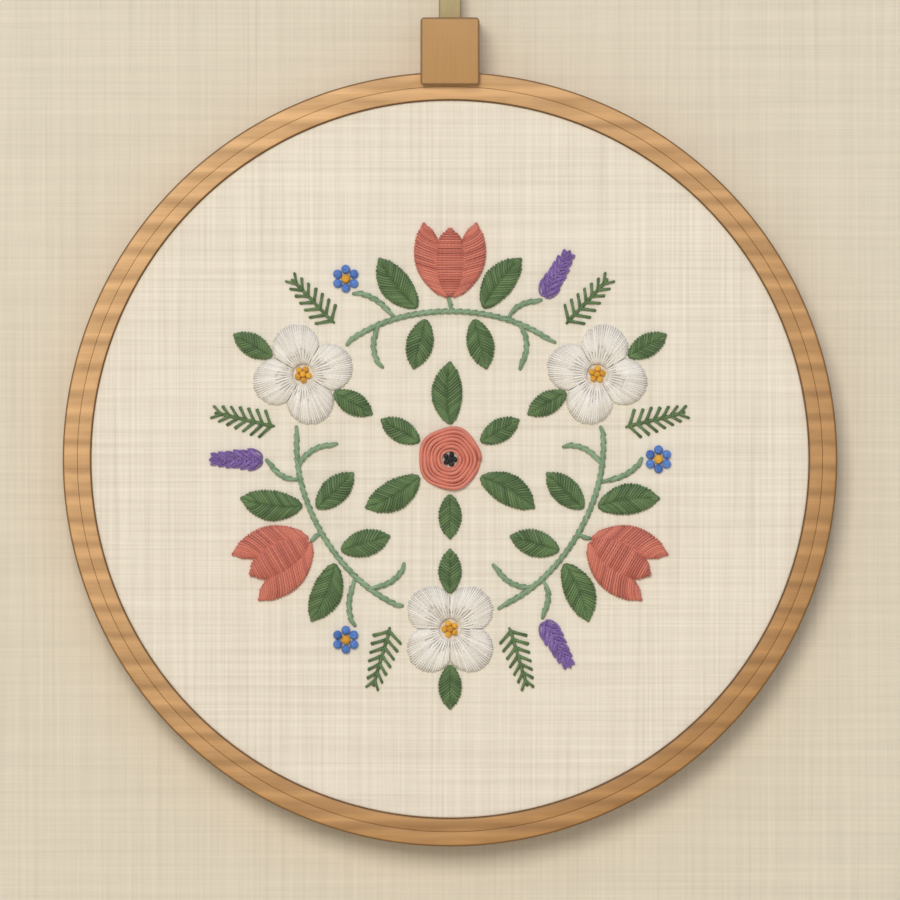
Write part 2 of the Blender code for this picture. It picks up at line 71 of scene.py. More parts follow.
RING_LOW, RING_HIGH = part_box("outer_strip")
HOOP_R = (RING_HIGH.x - RING_LOW.x) / 2
HALF_DEPTH = (RING_HIGH.y - RING_LOW.y) / 2
CENTRE_Z = (RING_HIGH.z + RING_LOW.z) / 2
BORE_R = 0.07620
GLUE_LINE_R = 0.07900
THREAD_PITCH = 0.0005
LINEN_FACE = -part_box("linen")[0].y
TO_WORLD = Matrix.Translation((0, 0, CENTRE_Z)) @ Matrix.Rotation(math.pi / 2, 4, "X")
Colour = tuple[float, float, float]


class Fill(Enum):
    """The way threads lie across a satin shape."""

    FISHBONE = "two slanted halves that meet on the midrib"
    SLANT = "one slanted span from edge to edge"


def smooth_step(value: float) -> float:
    """Rise from 0 to 1 with level ends.

    Args:
        value: A share from 0 to 1.

    Returns:
        The eased share.
    """
    return value * value * (3 - 2 * value)


def polar(angle: float, radius: float, lift: float = 0.0) -> Vector:
    """Find a point on the hoop's plane.

    Args:
        angle: Degrees anticlockwise from straight up.
        radius: Distance from the hoop's middle.
        lift: Height above the plane.

    Returns:
        The point.
    """
    turned = math.radians(90 + angle)
    return Vector((radius * math.cos(turned), radius * math.sin(turned), lift))


def circle_point(angle: float, radius: float, lift: float = 0.0) -> Vector:
    """Find a point round a motif's own middle.

    Args:
        angle: Radians anticlockwise from the right.
        radius: Distance from the middle.
        lift: Height above the plane.

    Returns:
        The point.
    """
    return Vector((radius * math.cos(angle), radius * math.sin(angle), lift))


def add_to_scene(name: str, data: bpy.types.ID) -> bpy.types.Object:
    """Put a mesh, lamp or camera in the scene as an object of its own.

    Args:
        name: The object's name.
        data: What it holds.

    Returns:
        The object.
    """
    item = bpy.data.objects.new(name, data)
    bpy.context.scene.collection.objects.link(item)
    return item


def plain_mesh(bm: bmesh.types.BMesh, name: str) -> bpy.types.Mesh:
    """Turn a bmesh into a mesh and free it.

    Args:
        bm: The bmesh.
        name: The mesh's name.

    Returns:
        The mesh, not smoothed yet.
    """
    mesh = bpy.data.meshes.new(name)
    bm.to_mesh(mesh)
    bm.free()
    return mesh


class NodeKit:
    """Short ways to add and join shader nodes in one tree."""

    def __init__(self, tree: bpy.types.NodeTree) -> None:
        """Keep the tree that nodes are added to."""
        self.tree = tree

    def add(self, kind: str, **settings: object) -> bpy.types.Node:
        """Add a node and set its properties.

        Args:
            kind: The node's type name.
            settings: Property values by name.

        Returns:
            The new node.
        """
        node = self.tree.nodes.new(kind)
        for name, value in settings.items():
            setattr(node, name, value)
        return node

    def join(self, source: bpy.types.NodeSocket, target: bpy.types.NodeSocket) -> None:
        """Link an output to an input."""
        self.tree.links.new(source, target)

    def math(self, operation: str, first: object, second: object = 0.0) -> bpy.types.NodeSocket:
        """Add a Math node fed by sockets or numbers.

        Args:
            operation: The node's operation.
            first: Its first input.
            second: Its second input.

        Returns:
            The result's socket.
        """
        node = self.add("ShaderNodeMath", operation=operation)
        for index, value in enumerate((first, second)):
            if isinstance(value, bpy.types.NodeSocket):
                self.join(value, node.inputs[index])
            else:
                node.inputs[index].default_value = value
        return node.outputs[0]

    def noise(self, vector: bpy.types.NodeSocket, scale: Sequence[float], detail: float = 2.0,
              roughness: float = 0.5) -> bpy.types.NodeSocket:
        """Add a noise pattern with its own scale along each axis.

        Args:
            vector: The coordinates, in metres.
            scale: Repeats for each metre along X, Y and Z.
            detail: Octaves of detail.
            roughness: Strength of the finer octaves.

        Returns:
            The noise value's socket, from 0 to 1.
        """
        mapping = self.add("ShaderNodeMapping")
        mapping.inputs["Scale"].default_value = scale
        self.join(vector, mapping.inputs["Vector"])
        noise = self.add("ShaderNodeTexNoise")
        noise.inputs["Scale"].default_value = 1.0
        noise.inputs["Detail"].default_value = detail
        noise.inputs["Roughness"].default_value = roughness
        self.join(mapping.outputs[0], noise.inputs["Vector"])
        return noise.outputs["Fac"]

    def ranged(self, value: bpy.types.NodeSocket, low: float, high: float, start: float,
               end: float) -> bpy.types.NodeSocket:
        """Map a value from one range to another, clamped.

        Args:
            value: The value's socket.
            low: The value that becomes start.
            high: The value that becomes end.
            start: The result at low.
            end: The result at high.

        Returns:
            The mapped value's socket.
        """
        node = self.add("ShaderNodeMapRange")
        for name, number in (("From Min", low), ("From Max", high), ("To Min", start),
                             ("To Max", end)):
            node.inputs[name].default_value = number
        self.join(value, node.inputs["Value"])
        return node.outputs["Result"]

    def blend(self, share: object, first: object, second: object,
              mode: str = "MIX") -> bpy.types.NodeSocket:
        """Mix two colours.

        Args:
            share: The share of the second, a socket or a number.
            first: A socket or a colour.
            second: A socket or a colour.
            mode: The blend type.

        Returns:
            The mixed colour's socket.
        """
        node = self.add("ShaderNodeMix", data_type="RGBA", blend_type=mode)
        for index, value in ((0, share), (6, first), (7, second)):
            if isinstance(value, bpy.types.NodeSocket):
                self.join(value, node.inputs[index])
            elif index == 0:
                node.inputs[index].default_value = value
            else:
                node.inputs[index].default_value = (*value, 1.0)
        return node.outputs[2]

    def bump(self, height: bpy.types.NodeSocket, shader: bpy.types.Node, strength: float,
             distance: float) -> None:
        """Raise a shader's surface by a height.

        Args:
            height: The height's socket.
            shader: The shader whose normal is bent.
            strength: The strength of the bump.
            distance: The height of a value of 1, in metres.
        """
        node = self.add("ShaderNodeBump")
        node.inputs["Strength"].default_value = strength
        node.inputs["Distance"].default_value = distance
        self.join(height, node.inputs["Height"])
        self.join(node.outputs[0], shader.inputs["Normal"])


def new_group(name: str, inputs: Sequence[tuple[str, str, object]],
              outputs: Sequence[tuple[str, str]]) -> tuple[bpy.types.NodeTree, NodeKit,
                                                           bpy.types.Node, bpy.types.Node]:
    """Start a shader node group with named sockets.

    Args:
        name: The group's name.
        inputs: Name, socket type and default value of each input.
        outputs: Name and socket type of each output.

    Returns:
        The group, a kit for it, its input node and its output node.
    """
    group = bpy.data.node_groups.new(name, "ShaderNodeTree")
    for label, kind, value in inputs:
        socket = group.interface.new_socket(label, in_out="INPUT", socket_type=kind)
        socket.default_value = value
    for label, kind in outputs:
        group.interface.new_socket(label, in_out="OUTPUT", socket_type=kind)
    kit = NodeKit(group)
    return group, kit, kit.add("NodeGroupInput"), kit.add("NodeGroupOutput")


def make_weave_group() -> bpy.types.NodeTree:
    """Build the plain weave: uneven threads both ways, with broken slubs.

    Returns:
        The group, which gives a shade from 0 (dark) to 1 (light) and a height.
    """
    group, kit, start, end = new_group(
        "plain_weave",
        [("Vector", "NodeSocketVector", (0, 0, 0)), ("Pitch", "NodeSocketFloat", THREAD_PITCH),
         ("Slub", "NodeSocketFloat", 0.1)],
        [("Shade", "NodeSocketFloat"), ("Height", "NodeSocketFloat")])
    vector = start.outputs["Vector"]
    thread, thread_run = 1750, 18
    slub_thread, slub_run = 900, 20
    fine_up = kit.noise(vector, (thread, 60, thread_run), 2.0, 0.6)
    fine_across = kit.noise(vector, (thread_run, 60, thread), 2.0, 0.6)
    slub_up = kit.noise(vector, (slub_thread, 40, slub_run), 2.0, 0.7)
    slub_across = kit.noise(vector, (slub_run, 40, slub_thread), 2.0, 0.7)
    fine = kit.math("ADD", fine_up, fine_across)
    slub = kit.math("ADD", kit.ranged(slub_up, 0.50, 0.70, 0.0, 1.0),
                    kit.ranged(slub_across, 0.50, 0.70, 0.0, 1.0))
    slub = kit.math("MULTIPLY", slub, start.outputs["Slub"])
    shade = kit.math("SUBTRACT", kit.math("MULTIPLY", fine, 0.5), slub)
    kit.join(kit.ranged(shade, 0.18, 0.66, 0.0, 1.0), end.inputs["Shade"])
    split = kit.add("ShaderNodeSeparateXYZ")
    kit.join(vector, split.inputs[0])
    turn = kit.math("DIVIDE", math.pi, start.outputs["Pitch"])
    wave_across = kit.math("SINE", kit.math("MULTIPLY", split.outputs["X"], turn))
    wave_up = kit.math("SINE", kit.math("MULTIPLY", split.outputs["Z"], turn))
    checks = kit.math("MULTIPLY", wave_across, wave_up)
    height = kit.math("ADD", kit.math("MULTIPLY", checks, 0.5), fine)
    kit.join(height, end.inputs["Height"])
    return group


def band_wave(kit: NodeKit, height: bpy.types.NodeSocket, pitch: bpy.types.NodeSocket,
              factor: float, wander: bpy.types.NodeSocket, drift: float) -> bpy.types.NodeSocket:
    """Add level bands whose edges wander.

    Args:
        height: The height, in metres.
        pitch: The distance from band to band.
        factor: A multiple of that distance.
        wander: A slow noise that moves the bands.
        drift: How far it moves them, in radians.

    Returns:
        A value from -1 to 1.
    """
    turn = kit.math("DIVIDE", kit.math("MULTIPLY", height, math.tau / factor), pitch)
    return kit.math("SINE", kit.math("ADD", turn, kit.math("MULTIPLY", wander, drift)))


def make_grain_and_shade_group() -> bpy.types.NodeTree:
    """Build the wood's grain, level bands and fine fibres, and a painted shade slope over the ring.

    Returns:
        The group, which gives a band value, a fibre value and a painted shade value from 0 on the lit
        upper left to 1 on the shaded lower right.
    """
    group, kit, start, end = new_group(
        "level_grain",
        [("Vector", "NodeSocketVector", (0, 0, 0)), ("Band Pitch", "NodeSocketFloat", 0.005)],
        [("Bands", "NodeSocketFloat"), ("Fibres", "NodeSocketFloat"), ("Drift", "NodeSocketFloat")])
    vector = start.outputs["Vector"]
    split = kit.add("ShaderNodeSeparateXYZ")
    kit.join(vector, split.inputs[0])
    pitch = start.outputs["Band Pitch"]
    wander = kit.noise(vector, (14, 14, 46), 2.0)
    ripple = kit.noise(vector, (95, 30, 150), 2.0)
    broad = band_wave(kit, split.outputs["Z"], pitch, 1.0, wander, 9.0)
    narrow = band_wave(kit, split.outputs["Z"], pitch, 0.53, ripple, 7.0)
    bands = kit.math("ADD", kit.math("MULTIPLY", broad, 0.30), kit.math("MULTIPLY", narrow, 0.17))
    bands = kit.math("ADD", kit.math("ADD", bands, kit.ranged(ripple, 0.3, 0.7, -0.16, 0.16)), 0.5)
    fibres = kit.noise(vector, (60, 60, 2400), 2.0, 0.6)
    kit.join(bands, end.inputs["Bands"])
    kit.join(fibres, end.inputs["Fibres"])
    # Painted shade: a straight slope across the ring from the lit upper left to the shaded lower
    # right.
    shade_down_right = kit.math("MULTIPLY", kit.math("SUBTRACT", split.outputs["Z"], CENTRE_Z), 0.77)
    painted_shade_slope = kit.math("SUBTRACT", kit.math("MULTIPLY", split.outputs["X"], 0.64), shade_down_right)
    kit.join(kit.ranged(painted_shade_slope, -HOOP_R, HOOP_R, 0.0, 1.0), end.inputs["Drift"])
    return group


def make_twist_group() -> bpy.types.NodeTree:
    """Build the strands of a thread: slanted stripes from its own length and turn.

    Returns:
        The group, which gives a strand value from 0 to 1.
    """
    group, kit, start, end = new_group(
        "strand_twist",
        [("Vector", "NodeSocketVector", (0, 0, 0)), ("Turns", "NodeSocketFloat", 10.0)],
        [("Strand", "NodeSocketFloat")])
    split = kit.add("ShaderNodeSeparateXYZ")
    kit.join(start.outputs["Vector"], split.inputs[0])
    along = kit.math("MULTIPLY", split.outputs["X"], start.outputs["Turns"])
    around = kit.math("MULTIPLY", split.outputs["Y"], 3.0)
    wave = kit.math("SINE", kit.math("MULTIPLY", kit.math("ADD", along, around), math.tau))
    kit.join(kit.ranged(wave, -1.0, 1.0, 0.0, 1.0), end.inputs["Strand"])
    return group


WEAVE = make_weave_group()
GRAIN_AND_SHADE = make_grain_and_shade_group()
TWIST = make_twist_group()


def blank_material(name: str) -> tuple[bpy.types.Material, NodeKit, bpy.types.Node]:
    """Start a material.

    Args:
        name: The material's name.

    Returns:
        The material, a kit for its tree and its Principled BSDF.
    """
    material = bpy.data.materials.new(name)
    material.use_nodes = True
    return material, NodeKit(material.node_tree), material.node_tree.nodes["Principled BSDF"]


@dataclass(frozen=True)
class ThreadFinish:
    """Stranded cotton: its colour, a darker root colour and how strongly it varies."""

    name: str
    colour: Colour
    shade: Colour
    turns: float = 9.0

    def material(self) -> bpy.types.Material:
        """Build the thread's material.

        Returns:
            A material that reads the thread's UV map for its strands.
        """
        material, kit, shader = blank_material(self.name)
        place = kit.add("ShaderNodeTexCoord").outputs
        twist = kit.add("ShaderNodeGroup", node_tree=TWIST)
        twist.inputs["Turns"].default_value = self.turns
        kit.join(place["UV"], twist.inputs["Vector"])
        patch = kit.noise(place["Object"], (420, 420, 420), 2.0)
        tone = kit.add("ShaderNodeAttribute", attribute_name="tone")
        share = kit.math("ADD", kit.ranged(twist.outputs["Strand"], 0.0, 1.0, 0.26, 0.0),
                         kit.ranged(patch, 0.35, 0.65, 0.16, 0.0))
        share = kit.math("ADD", share, kit.math("MULTIPLY", tone.outputs["Fac"], 0.62))
        kit.join(kit.blend(share, self.colour, self.shade), shader.inputs["Base Color"])
        shader.inputs["Roughness"].default_value = 0.50
        shader.inputs["Sheen Weight"].default_value = 0.25
        shader.inputs["Sheen Roughness"].default_value = 0.4
        kit.bump(twist.outputs["Strand"], shader, 0.5, 0.00008)
        return material


@dataclass(frozen=True)
class WoodFinish:
    """Pale bent wood with level bands of grain, painted lighter on its upper left, where the key
    light falls, and painted darker on its lower right.
    """

    name: str
    # light and dark are the same wood painted lit and painted shaded, mixed by the painted shade
    # slope.
    light: Colour
    dark: Colour
    band: Colour
    # edge is the colour of the painted shade along the rounded edges and bore, and also of the darker
    # fibres.
    edge: Colour
    band_share: float = 0.95
    band_pitch: float = 0.0051
    outer_shade_band: tuple[float, float] = (0.00028, 0.00042)
    bore_shade_band: tuple[float, float] = (0.00013, 0.00028)
    line_band: tuple[float, float] = (0.00006, 0.00016)
    edge_shade_share: float = 0.9
    line_share: float = 0.12
    corner_depth: tuple[float, float] = (0.0004, 0.0008)

    def material(self) -> bpy.types.Material:
        """Build the wood's material.

        Returns:
            A material on Object coordinates, with painted shade along its rounded edges and its bore,
            and painted light and shade across the ring.
        """
        material, kit, shader = blank_material(self.name)
        place = kit.add("ShaderNodeTexCoord").outputs["Object"]
        grain = kit.add("ShaderNodeGroup", node_tree=GRAIN_AND_SHADE)
        grain.inputs["Band Pitch"].default_value = self.band_pitch
        kit.join(place, grain.inputs["Vector"])
        # Painted light and shade: the wood lighter to the upper left and darker to the lower right.
        body = kit.blend(grain.outputs["Drift"], self.light, self.dark)
        banded = kit.blend(kit.math("MULTIPLY", grain.outputs["Bands"], self.band_share), body,
                           self.band, "MULTIPLY")
        fibred = kit.blend(kit.ranged(grain.outputs["Fibres"], 0.35, 0.70, 0.0, 0.16), banded,
                           self.edge)
        # Painted shade along the rounded edges and bore, and the glue line's own darker colour.
        edges = self.edge_shade_and_joint_mask(kit, place)
        kit.join(kit.blend(edges, fibred, self.edge), shader.inputs["Base Color"])
        shader.inputs["Roughness"].default_value = 0.55
        kit.bump(grain.outputs["Fibres"], shader, 0.25, 0.00006)
        return material

    def edge_shade_and_joint_mask(self, kit: NodeKit, place: bpy.types.NodeSocket) -> bpy.types.NodeSocket:
        """Mark painted shade along the ring's outer edge and its bore, and its darker glue line, on
        the front and back corners.

        Args:
            place: The Object coordinates.

        Returns:
            A mask from 0 to 1.
        """
        split = kit.add("ShaderNodeSeparateXYZ")
        kit.join(place, split.inputs[0])
        up = kit.math("SUBTRACT", split.outputs["Z"], CENTRE_Z)
        square = kit.math("ADD", kit.math("POWER", split.outputs["X"], 2.0),
                          kit.math("POWER", up, 2.0))
        radius = kit.math("SQRT", square)
        # Painted shade where the outer edge rounds away and at the bore beside the linen.
        narrow, wide = self.outer_shade_band
        outer = kit.ranged(radius, HOOP_R - wide, HOOP_R - narrow, 0, self.edge_shade_share)
        inner = self.ring_line(kit, radius, BORE_R, self.bore_shade_band, self.edge_shade_share)
        line = self.ring_line(kit, radius, GLUE_LINE_R, self.line_band, self.line_share)
        shallow, deep = self.corner_depth
        corner = kit.ranged(kit.math("ABSOLUTE", split.outputs["Y"]), HALF_DEPTH - deep,
                            HALF_DEPTH - shallow, 0.0, 1.0)
        mask = kit.math("MAXIMUM", line, kit.math("MAXIMUM", outer, inner))
        return kit.math("MULTIPLY", mask, corner)

    @staticmethod
    def ring_line(kit: NodeKit, radius: bpy.types.NodeSocket, middle: float,
                  band: tuple[float, float], share: float) -> bpy.types.NodeSocket:
        """Mark a line round the hoop.

        Args:
            radius: The distance from the hoop's axis.
            middle: The line's radius.
            band: Half widths at which it starts to fade and has faded.
            share: Its full strength.

        Returns:
            A mask from 0 to the full strength.
        """
        away = kit.math("ABSOLUTE", kit.math("SUBTRACT", radius, middle))
        return kit.ranged(away, band[0], band[1], share, 0)


@dataclass(frozen=True)
class BlockFinish:
    """The block's plainer tan wood."""

    name: str
    colour: Colour
    deep: Colour
    # edge is the colour of the painted shade along the block's edges.
    edge: Colour
    edge_shade_width: float = 0.00036
    edge_shade_fade: tuple[float, float] = (0.00010, 0.00004)
    edge_shade_share: float = 0.85
    front_depth: tuple[float, float] = (0.0003, 0.0007)

    def material(self) -> bpy.types.Material:
        """Build the block's material.

        Returns:
            A material on Object coordinates with faint upright fibres and painted shade along the
            edges of its front.
        """
        material, kit, shader = blank_material(self.name)
        place = kit.add("ShaderNodeTexCoord").outputs["Object"]
        slow = kit.noise(place, (160, 160, 40), 2.0)
        fibres = kit.noise(place, (2600, 2600, 90), 2.0, 0.6)
        share = kit.math("ADD", kit.ranged(slow, 0.3, 0.7, 0.0, 0.25),
                         kit.ranged(fibres, 0.35, 0.7, 0.0, 0.30))
        body = kit.blend(share, self.colour, self.deep)
        # Painted shade along the edges of the block's front.
        kit.join(kit.blend(self.rim(kit, place), body, self.edge), shader.inputs["Base Color"])
        shader.inputs["Roughness"].default_value = 0.55
        kit.bump(fibres, shader, 0.2, 0.00005)
        return material

    def rim(self, kit: NodeKit, place: bpy.types.NodeSocket) -> bpy.types.NodeSocket:
        """Mark painted shade along the block's edges, seen from in front.

        Args:
            place: The Object coordinates.

        Returns:
            A mask from 0 to 1.
        """
        low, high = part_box("clamp_block")
        split = kit.add("ShaderNodeSeparateXYZ")
        kit.join(place, split.inputs[0])
        masks = []
        for axis, first, last in (("X", low.x, high.x), ("Z", low.z, high.z)):
            half = (last - first) / 2
            away = kit.math("ABSOLUTE", kit.math("SUBTRACT", split.outputs[axis],
                                                 (first + last) / 2))
            start = half - self.edge_shade_width
            masks.append(kit.ranged(away, start - self.edge_shade_fade[0], start + self.edge_shade_fade[1],
                                    0.0, self.edge_shade_share))
        shallow, deep = self.front_depth
        front = kit.ranged(split.outputs["Y"], low.y + shallow, low.y + deep, 1.0, 0.0)
        return kit.math("MULTIPLY", kit.math("MAXIMUM", *masks), front)


@dataclass(frozen=True)
class LinenFinish:
    """Cream linen: pale threads, darker gaps and slubs both ways."""

    name: str
    pale: Colour
    dark: Colour
    slub: float = 0.11

    def material(self) -> bpy.types.Material:
        """Build the linen's material.

        Returns:
            A material on Object coordinates.
        """
        material, kit, shader = blank_material(self.name)
        place = kit.add("ShaderNodeTexCoord").outputs["Object"]
        weave = kit.add("ShaderNodeGroup", node_tree=WEAVE)
        weave.inputs["Pitch"].default_value = THREAD_PITCH
        weave.inputs["Slub"].default_value = self.slub
        kit.join(place, weave.inputs["Vector"])
        kit.join(kit.blend(weave.outputs["Shade"], self.dark, self.pale), shader.inputs["Base Color"])
        shader.inputs["Roughness"].default_value = 0.92
        shader.inputs["Sheen Weight"].default_value = 0.15
        kit.bump(weave.outputs["Height"], shader, 0.35, 0.00008)
        return material


@dataclass(frozen=True)
class TapeFinish:
    """Khaki cotton tape with fine ribs along it and painted shade along its two sides."""

    name: str
    colour: Colour
    dark: Colour
    rib_pitch: float = 0.00042
    pick_pitch: float = 0.00050
    side_shade_band: tuple[float, float] = (0.00200, 0.00222)
    edge_shade_share: float = 0.75

    def material(self) -> bpy.types.Material:
        """Build the tape's material.

        Returns:
            A material that reads the tape's own across and along measure.
        """
        material, kit, shader = blank_material(self.name)
        measure = kit.add("ShaderNodeAttribute", attribute_name="tape_place")
        split = kit.add("ShaderNodeSeparateXYZ")
        kit.join(measure.outputs["Vector"], split.inputs[0])
        ribs = kit.math("SINE", kit.math("MULTIPLY", split.outputs["X"],
                                         math.tau / self.rib_pitch))
        picks = kit.math("SINE", kit.math("MULTIPLY", split.outputs["Y"],
                                          math.tau / self.pick_pitch))
        weave = kit.math("MULTIPLY", ribs, picks)
        patch = kit.noise(measure.outputs["Vector"], (900, 300, 300), 2.0)
        # Painted shade along the tape's two sides.
        edge = kit.ranged(kit.math("ABSOLUTE", split.outputs["X"]), *self.side_shade_band, 0.0,
                          self.edge_shade_share)
        share = kit.math("ADD", kit.ranged(weave, -1.0, 1.0, 0.22, 0.0),
                         kit.ranged(patch, 0.3, 0.7, 0.25, 0.0))
        share = kit.math("ADD", share, edge)
        kit.join(kit.blend(share, self.colour, self.dark), shader.inputs["Base Color"])
        shader.inputs["Roughness"].default_value = 0.9
        shader.inputs["Sheen Weight"].default_value = 0.15
        kit.bump(weave, shader, 0.5, 0.00006)
        return material


@dataclass(frozen=True)
class Palette:
    """Every finish of the piece, made once."""

    ring: WoodFinish
    block: BlockFinish
    linen: LinenFinish
    tape: TapeFinish
    threads: dict[str, ThreadFinish]


def make_palette() -> Palette:
    """Choose the finishes.

    Returns:
        The palette in linear colour.
    """
    threads = {
        "sage_thread": ThreadFinish("sage_cotton", (0.268, 0.400, 0.252), (0.150, 0.255, 0.145)),
        "leaf_thread": ThreadFinish("leaf_cotton", (0.135, 0.235, 0.085), (0.055, 0.110, 0.035)),
        "coral_thread": ThreadFinish("coral_cotton", (0.680, 0.215, 0.150), (0.430, 0.105, 0.075)),
        "white_thread": ThreadFinish("white_cotton", (0.88, 0.86, 0.82), (0.66, 0.62, 0.56)),
        "yellow_thread": ThreadFinish("yellow_cotton", (0.88, 0.47, 0.030), (0.60, 0.27, 0.012)),
        "blue_thread": ThreadFinish("blue_cotton", (0.105, 0.260, 0.700), (0.040, 0.120, 0.420)),
        "purple_thread": ThreadFinish("purple_cotton", (0.265, 0.155, 0.470),
                                      (0.130, 0.070, 0.270)),
        "black_thread": ThreadFinish("black_cotton", (0.018, 0.019, 0.024),
                                     (0.006, 0.006, 0.008)),
    }
    # The ring's light and dark are painted lit and shaded wood; its edge colour is painted shade
    # along its edges and also its darker fibres.
    ring = WoodFinish("bent_wood", light=(0.765, 0.460, 0.210), dark=(0.478, 0.244, 0.075),
                      band=(0.62, 0.59, 0.53), edge=(0.185, 0.090, 0.024))
    # The block's edge colour is painted shade along its edges.
    block = BlockFinish("block_wood", colour=(0.450, 0.248, 0.084), deep=(0.365, 0.194, 0.064),
                        edge=(0.170, 0.090, 0.030))
    linen = LinenFinish("cream_linen", pale=(0.825, 0.771, 0.674), dark=(0.626, 0.572, 0.478))
    # The tape's dark colour serves its weave and patches, and the painted shade along its sides.
    tape = TapeFinish("khaki_cotton", colour=(0.490, 0.412, 0.220), dark=(0.275, 0.216, 0.105))
    return Palette(ring, block, linen, tape, threads)


@dataclass
class Workshop:
    """Places finished meshes in the scene and dresses them."""

    palette: Palette
    made: dict[str, bpy.types.Material] = field(default_factory=dict)

    def material(self, finish: object) -> bpy.types.Material:
        """Return a finish's material, built the first time it is asked for.

        Args:
            finish: One of the palette's finishes.

        Returns:
            Its material.
        """
        if finish.name not in self.made:
            self.made[finish.name] = finish.material()
        return self.made[finish.name]

    def deliver(self, name: str, mesh: bpy.types.Mesh, slot: str, finish: object,
                stands_for: Sequence[str] = ()) -> bpy.types.Object:
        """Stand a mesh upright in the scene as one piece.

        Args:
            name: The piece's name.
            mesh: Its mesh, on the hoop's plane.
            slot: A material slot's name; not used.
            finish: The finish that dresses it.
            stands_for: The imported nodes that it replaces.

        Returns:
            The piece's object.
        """
        mesh.transform(TO_WORLD)
        mesh.materials.clear()
        mesh.materials.append(self.material(finish))
        piece = add_to_scene(name, mesh)
        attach(piece, BODY)
        if stands_for:
            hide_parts(*stands_for)
        LOG.info("%s: %d faces", name, len(mesh.polygons))
        return piece


def mesh_of(bm: bmesh.types.BMesh, name: str, sharp: float = 40.0) -> bpy.types.Mesh:
    """Turn a closed bmesh into a smooth mesh with its faces pointing outwards.

    Args:
        bm: The bmesh, which is freed.
        name: The mesh's name.
        sharp: Edges that turn by more degrees than this stay sharp.

    Returns:
        The mesh.
    """
    bmesh.ops.recalc_face_normals(bm, faces=bm.faces)
    mesh = plain_mesh(bm, name)
    mesh.shade_smooth()
    mesh.set_sharp_from_angle(angle=math.radians(sharp))
    return mesh


@dataclass
class TurnedStrip:
    """One bent strip of the ring, a rectangle with eased edges spun round the hoop's axis."""

    name: str
    inner_r: float
    outer_r: float
    back: float
    front: float
    inner_ease: float
    outer_ease: float
    steps: int = 288
    ease_parts: int = 4

    def build(self) -> bpy.types.Mesh:
        """Spin the strip.

        Returns:
            The strip's mesh.
        """
        bm = bmesh.new()
        places = ((self.inner_r, self.back), (self.outer_r, self.back),
                  (self.outer_r, self.front), (self.inner_r, self.front))
        face = bm.faces.new([bm.verts.new((r, 0, z)) for r, z in places])
        bmesh.ops.spin(bm, geom=[face, *face.edges, *face.verts], cent=(0, 0, 0),
                       axis=(0, 0, 1), dvec=(0, 0, 0), angle=math.tau, steps=self.steps,
                       use_merge=True)
        axis = Vector((0, 0, 1))
        flat = [f for f in bm.faces if abs(f.normal.dot(self.radial(f).cross(axis))) > 0.9]
        bmesh.ops.delete(bm, geom=flat, context="FACES")
        bmesh.ops.remove_doubles(bm, verts=bm.verts, dist=1e-7)
        bm.normal_update()
        for radius, ease in ((self.outer_r, self.outer_ease), (self.inner_r, self.inner_ease)):
            rims = [e for e in bm.edges if self.is_rim(e, radius)]
            bmesh.ops.bevel(bm, geom=rims, offset=ease, segments=self.ease_parts, profile=0.5,
                            affect="EDGES", material=-1)
        return mesh_of(bm, self.name)

    @staticmethod
    def radial(item: bmesh.types.BMFace) -> Vector:
        """Return the way out from the axis at a face's middle."""
        middle = item.calc_center_median()
        return Vector((middle.x, middle.y, 0)).normalized()

    @staticmethod
    def is_rim(edge: bmesh.types.BMEdge, radius: float) -> bool:
        """Say whether an edge runs round the ring at a radius.

        Args:
            edge: The edge.
            radius: The radius.

        Returns:
            True when both ends lie on that radius at one height.
        """
        ends = [vert.co for vert in edge.verts]
        level = abs(ends[0].z - ends[1].z) < 1e-6
        return level and all(abs(end.xy.length - radius) < 2e-6 for end in ends)


@dataclass
class Hoop:
    """The ring of two bent strips and the ring hidden behind the linen."""

    workshop: Workshop
    line_gap: float = 0.00002
    line_ease: float = 0.00010
    edge_ease: float = 0.00060
    bore_ease: float = 0.00025
    hidden_width: float = 0.0040
    hidden_inner_ease: float = 0.0004
    hidden_outer_ease: float = 0.0009

    def build(self) -> None:
        """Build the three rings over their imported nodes."""
        low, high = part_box("stretcher_ring")
        strips = {
            "outer_strip": TurnedStrip("ring_outer_strip", GLUE_LINE_R + self.line_gap, HOOP_R,
                                       -HALF_DEPTH, HALF_DEPTH, self.line_ease, self.edge_ease),
            "inner_strip": TurnedStrip("ring_inner_strip", BORE_R, GLUE_LINE_R - self.line_gap,
                                       -HALF_DEPTH, HALF_DEPTH, self.bore_ease, self.line_ease),
            "stretcher_ring": TurnedStrip("hidden_ring", high.x - self.hidden_width, high.x,
                                          -high.y, -low.y, self.hidden_inner_ease,
                                          self.hidden_outer_ease),
        }
        for node, strip in strips.items():
            self.workshop.deliver(strip.name, strip.build(), "bent_wood",
                                  self.workshop.palette.ring, [node])


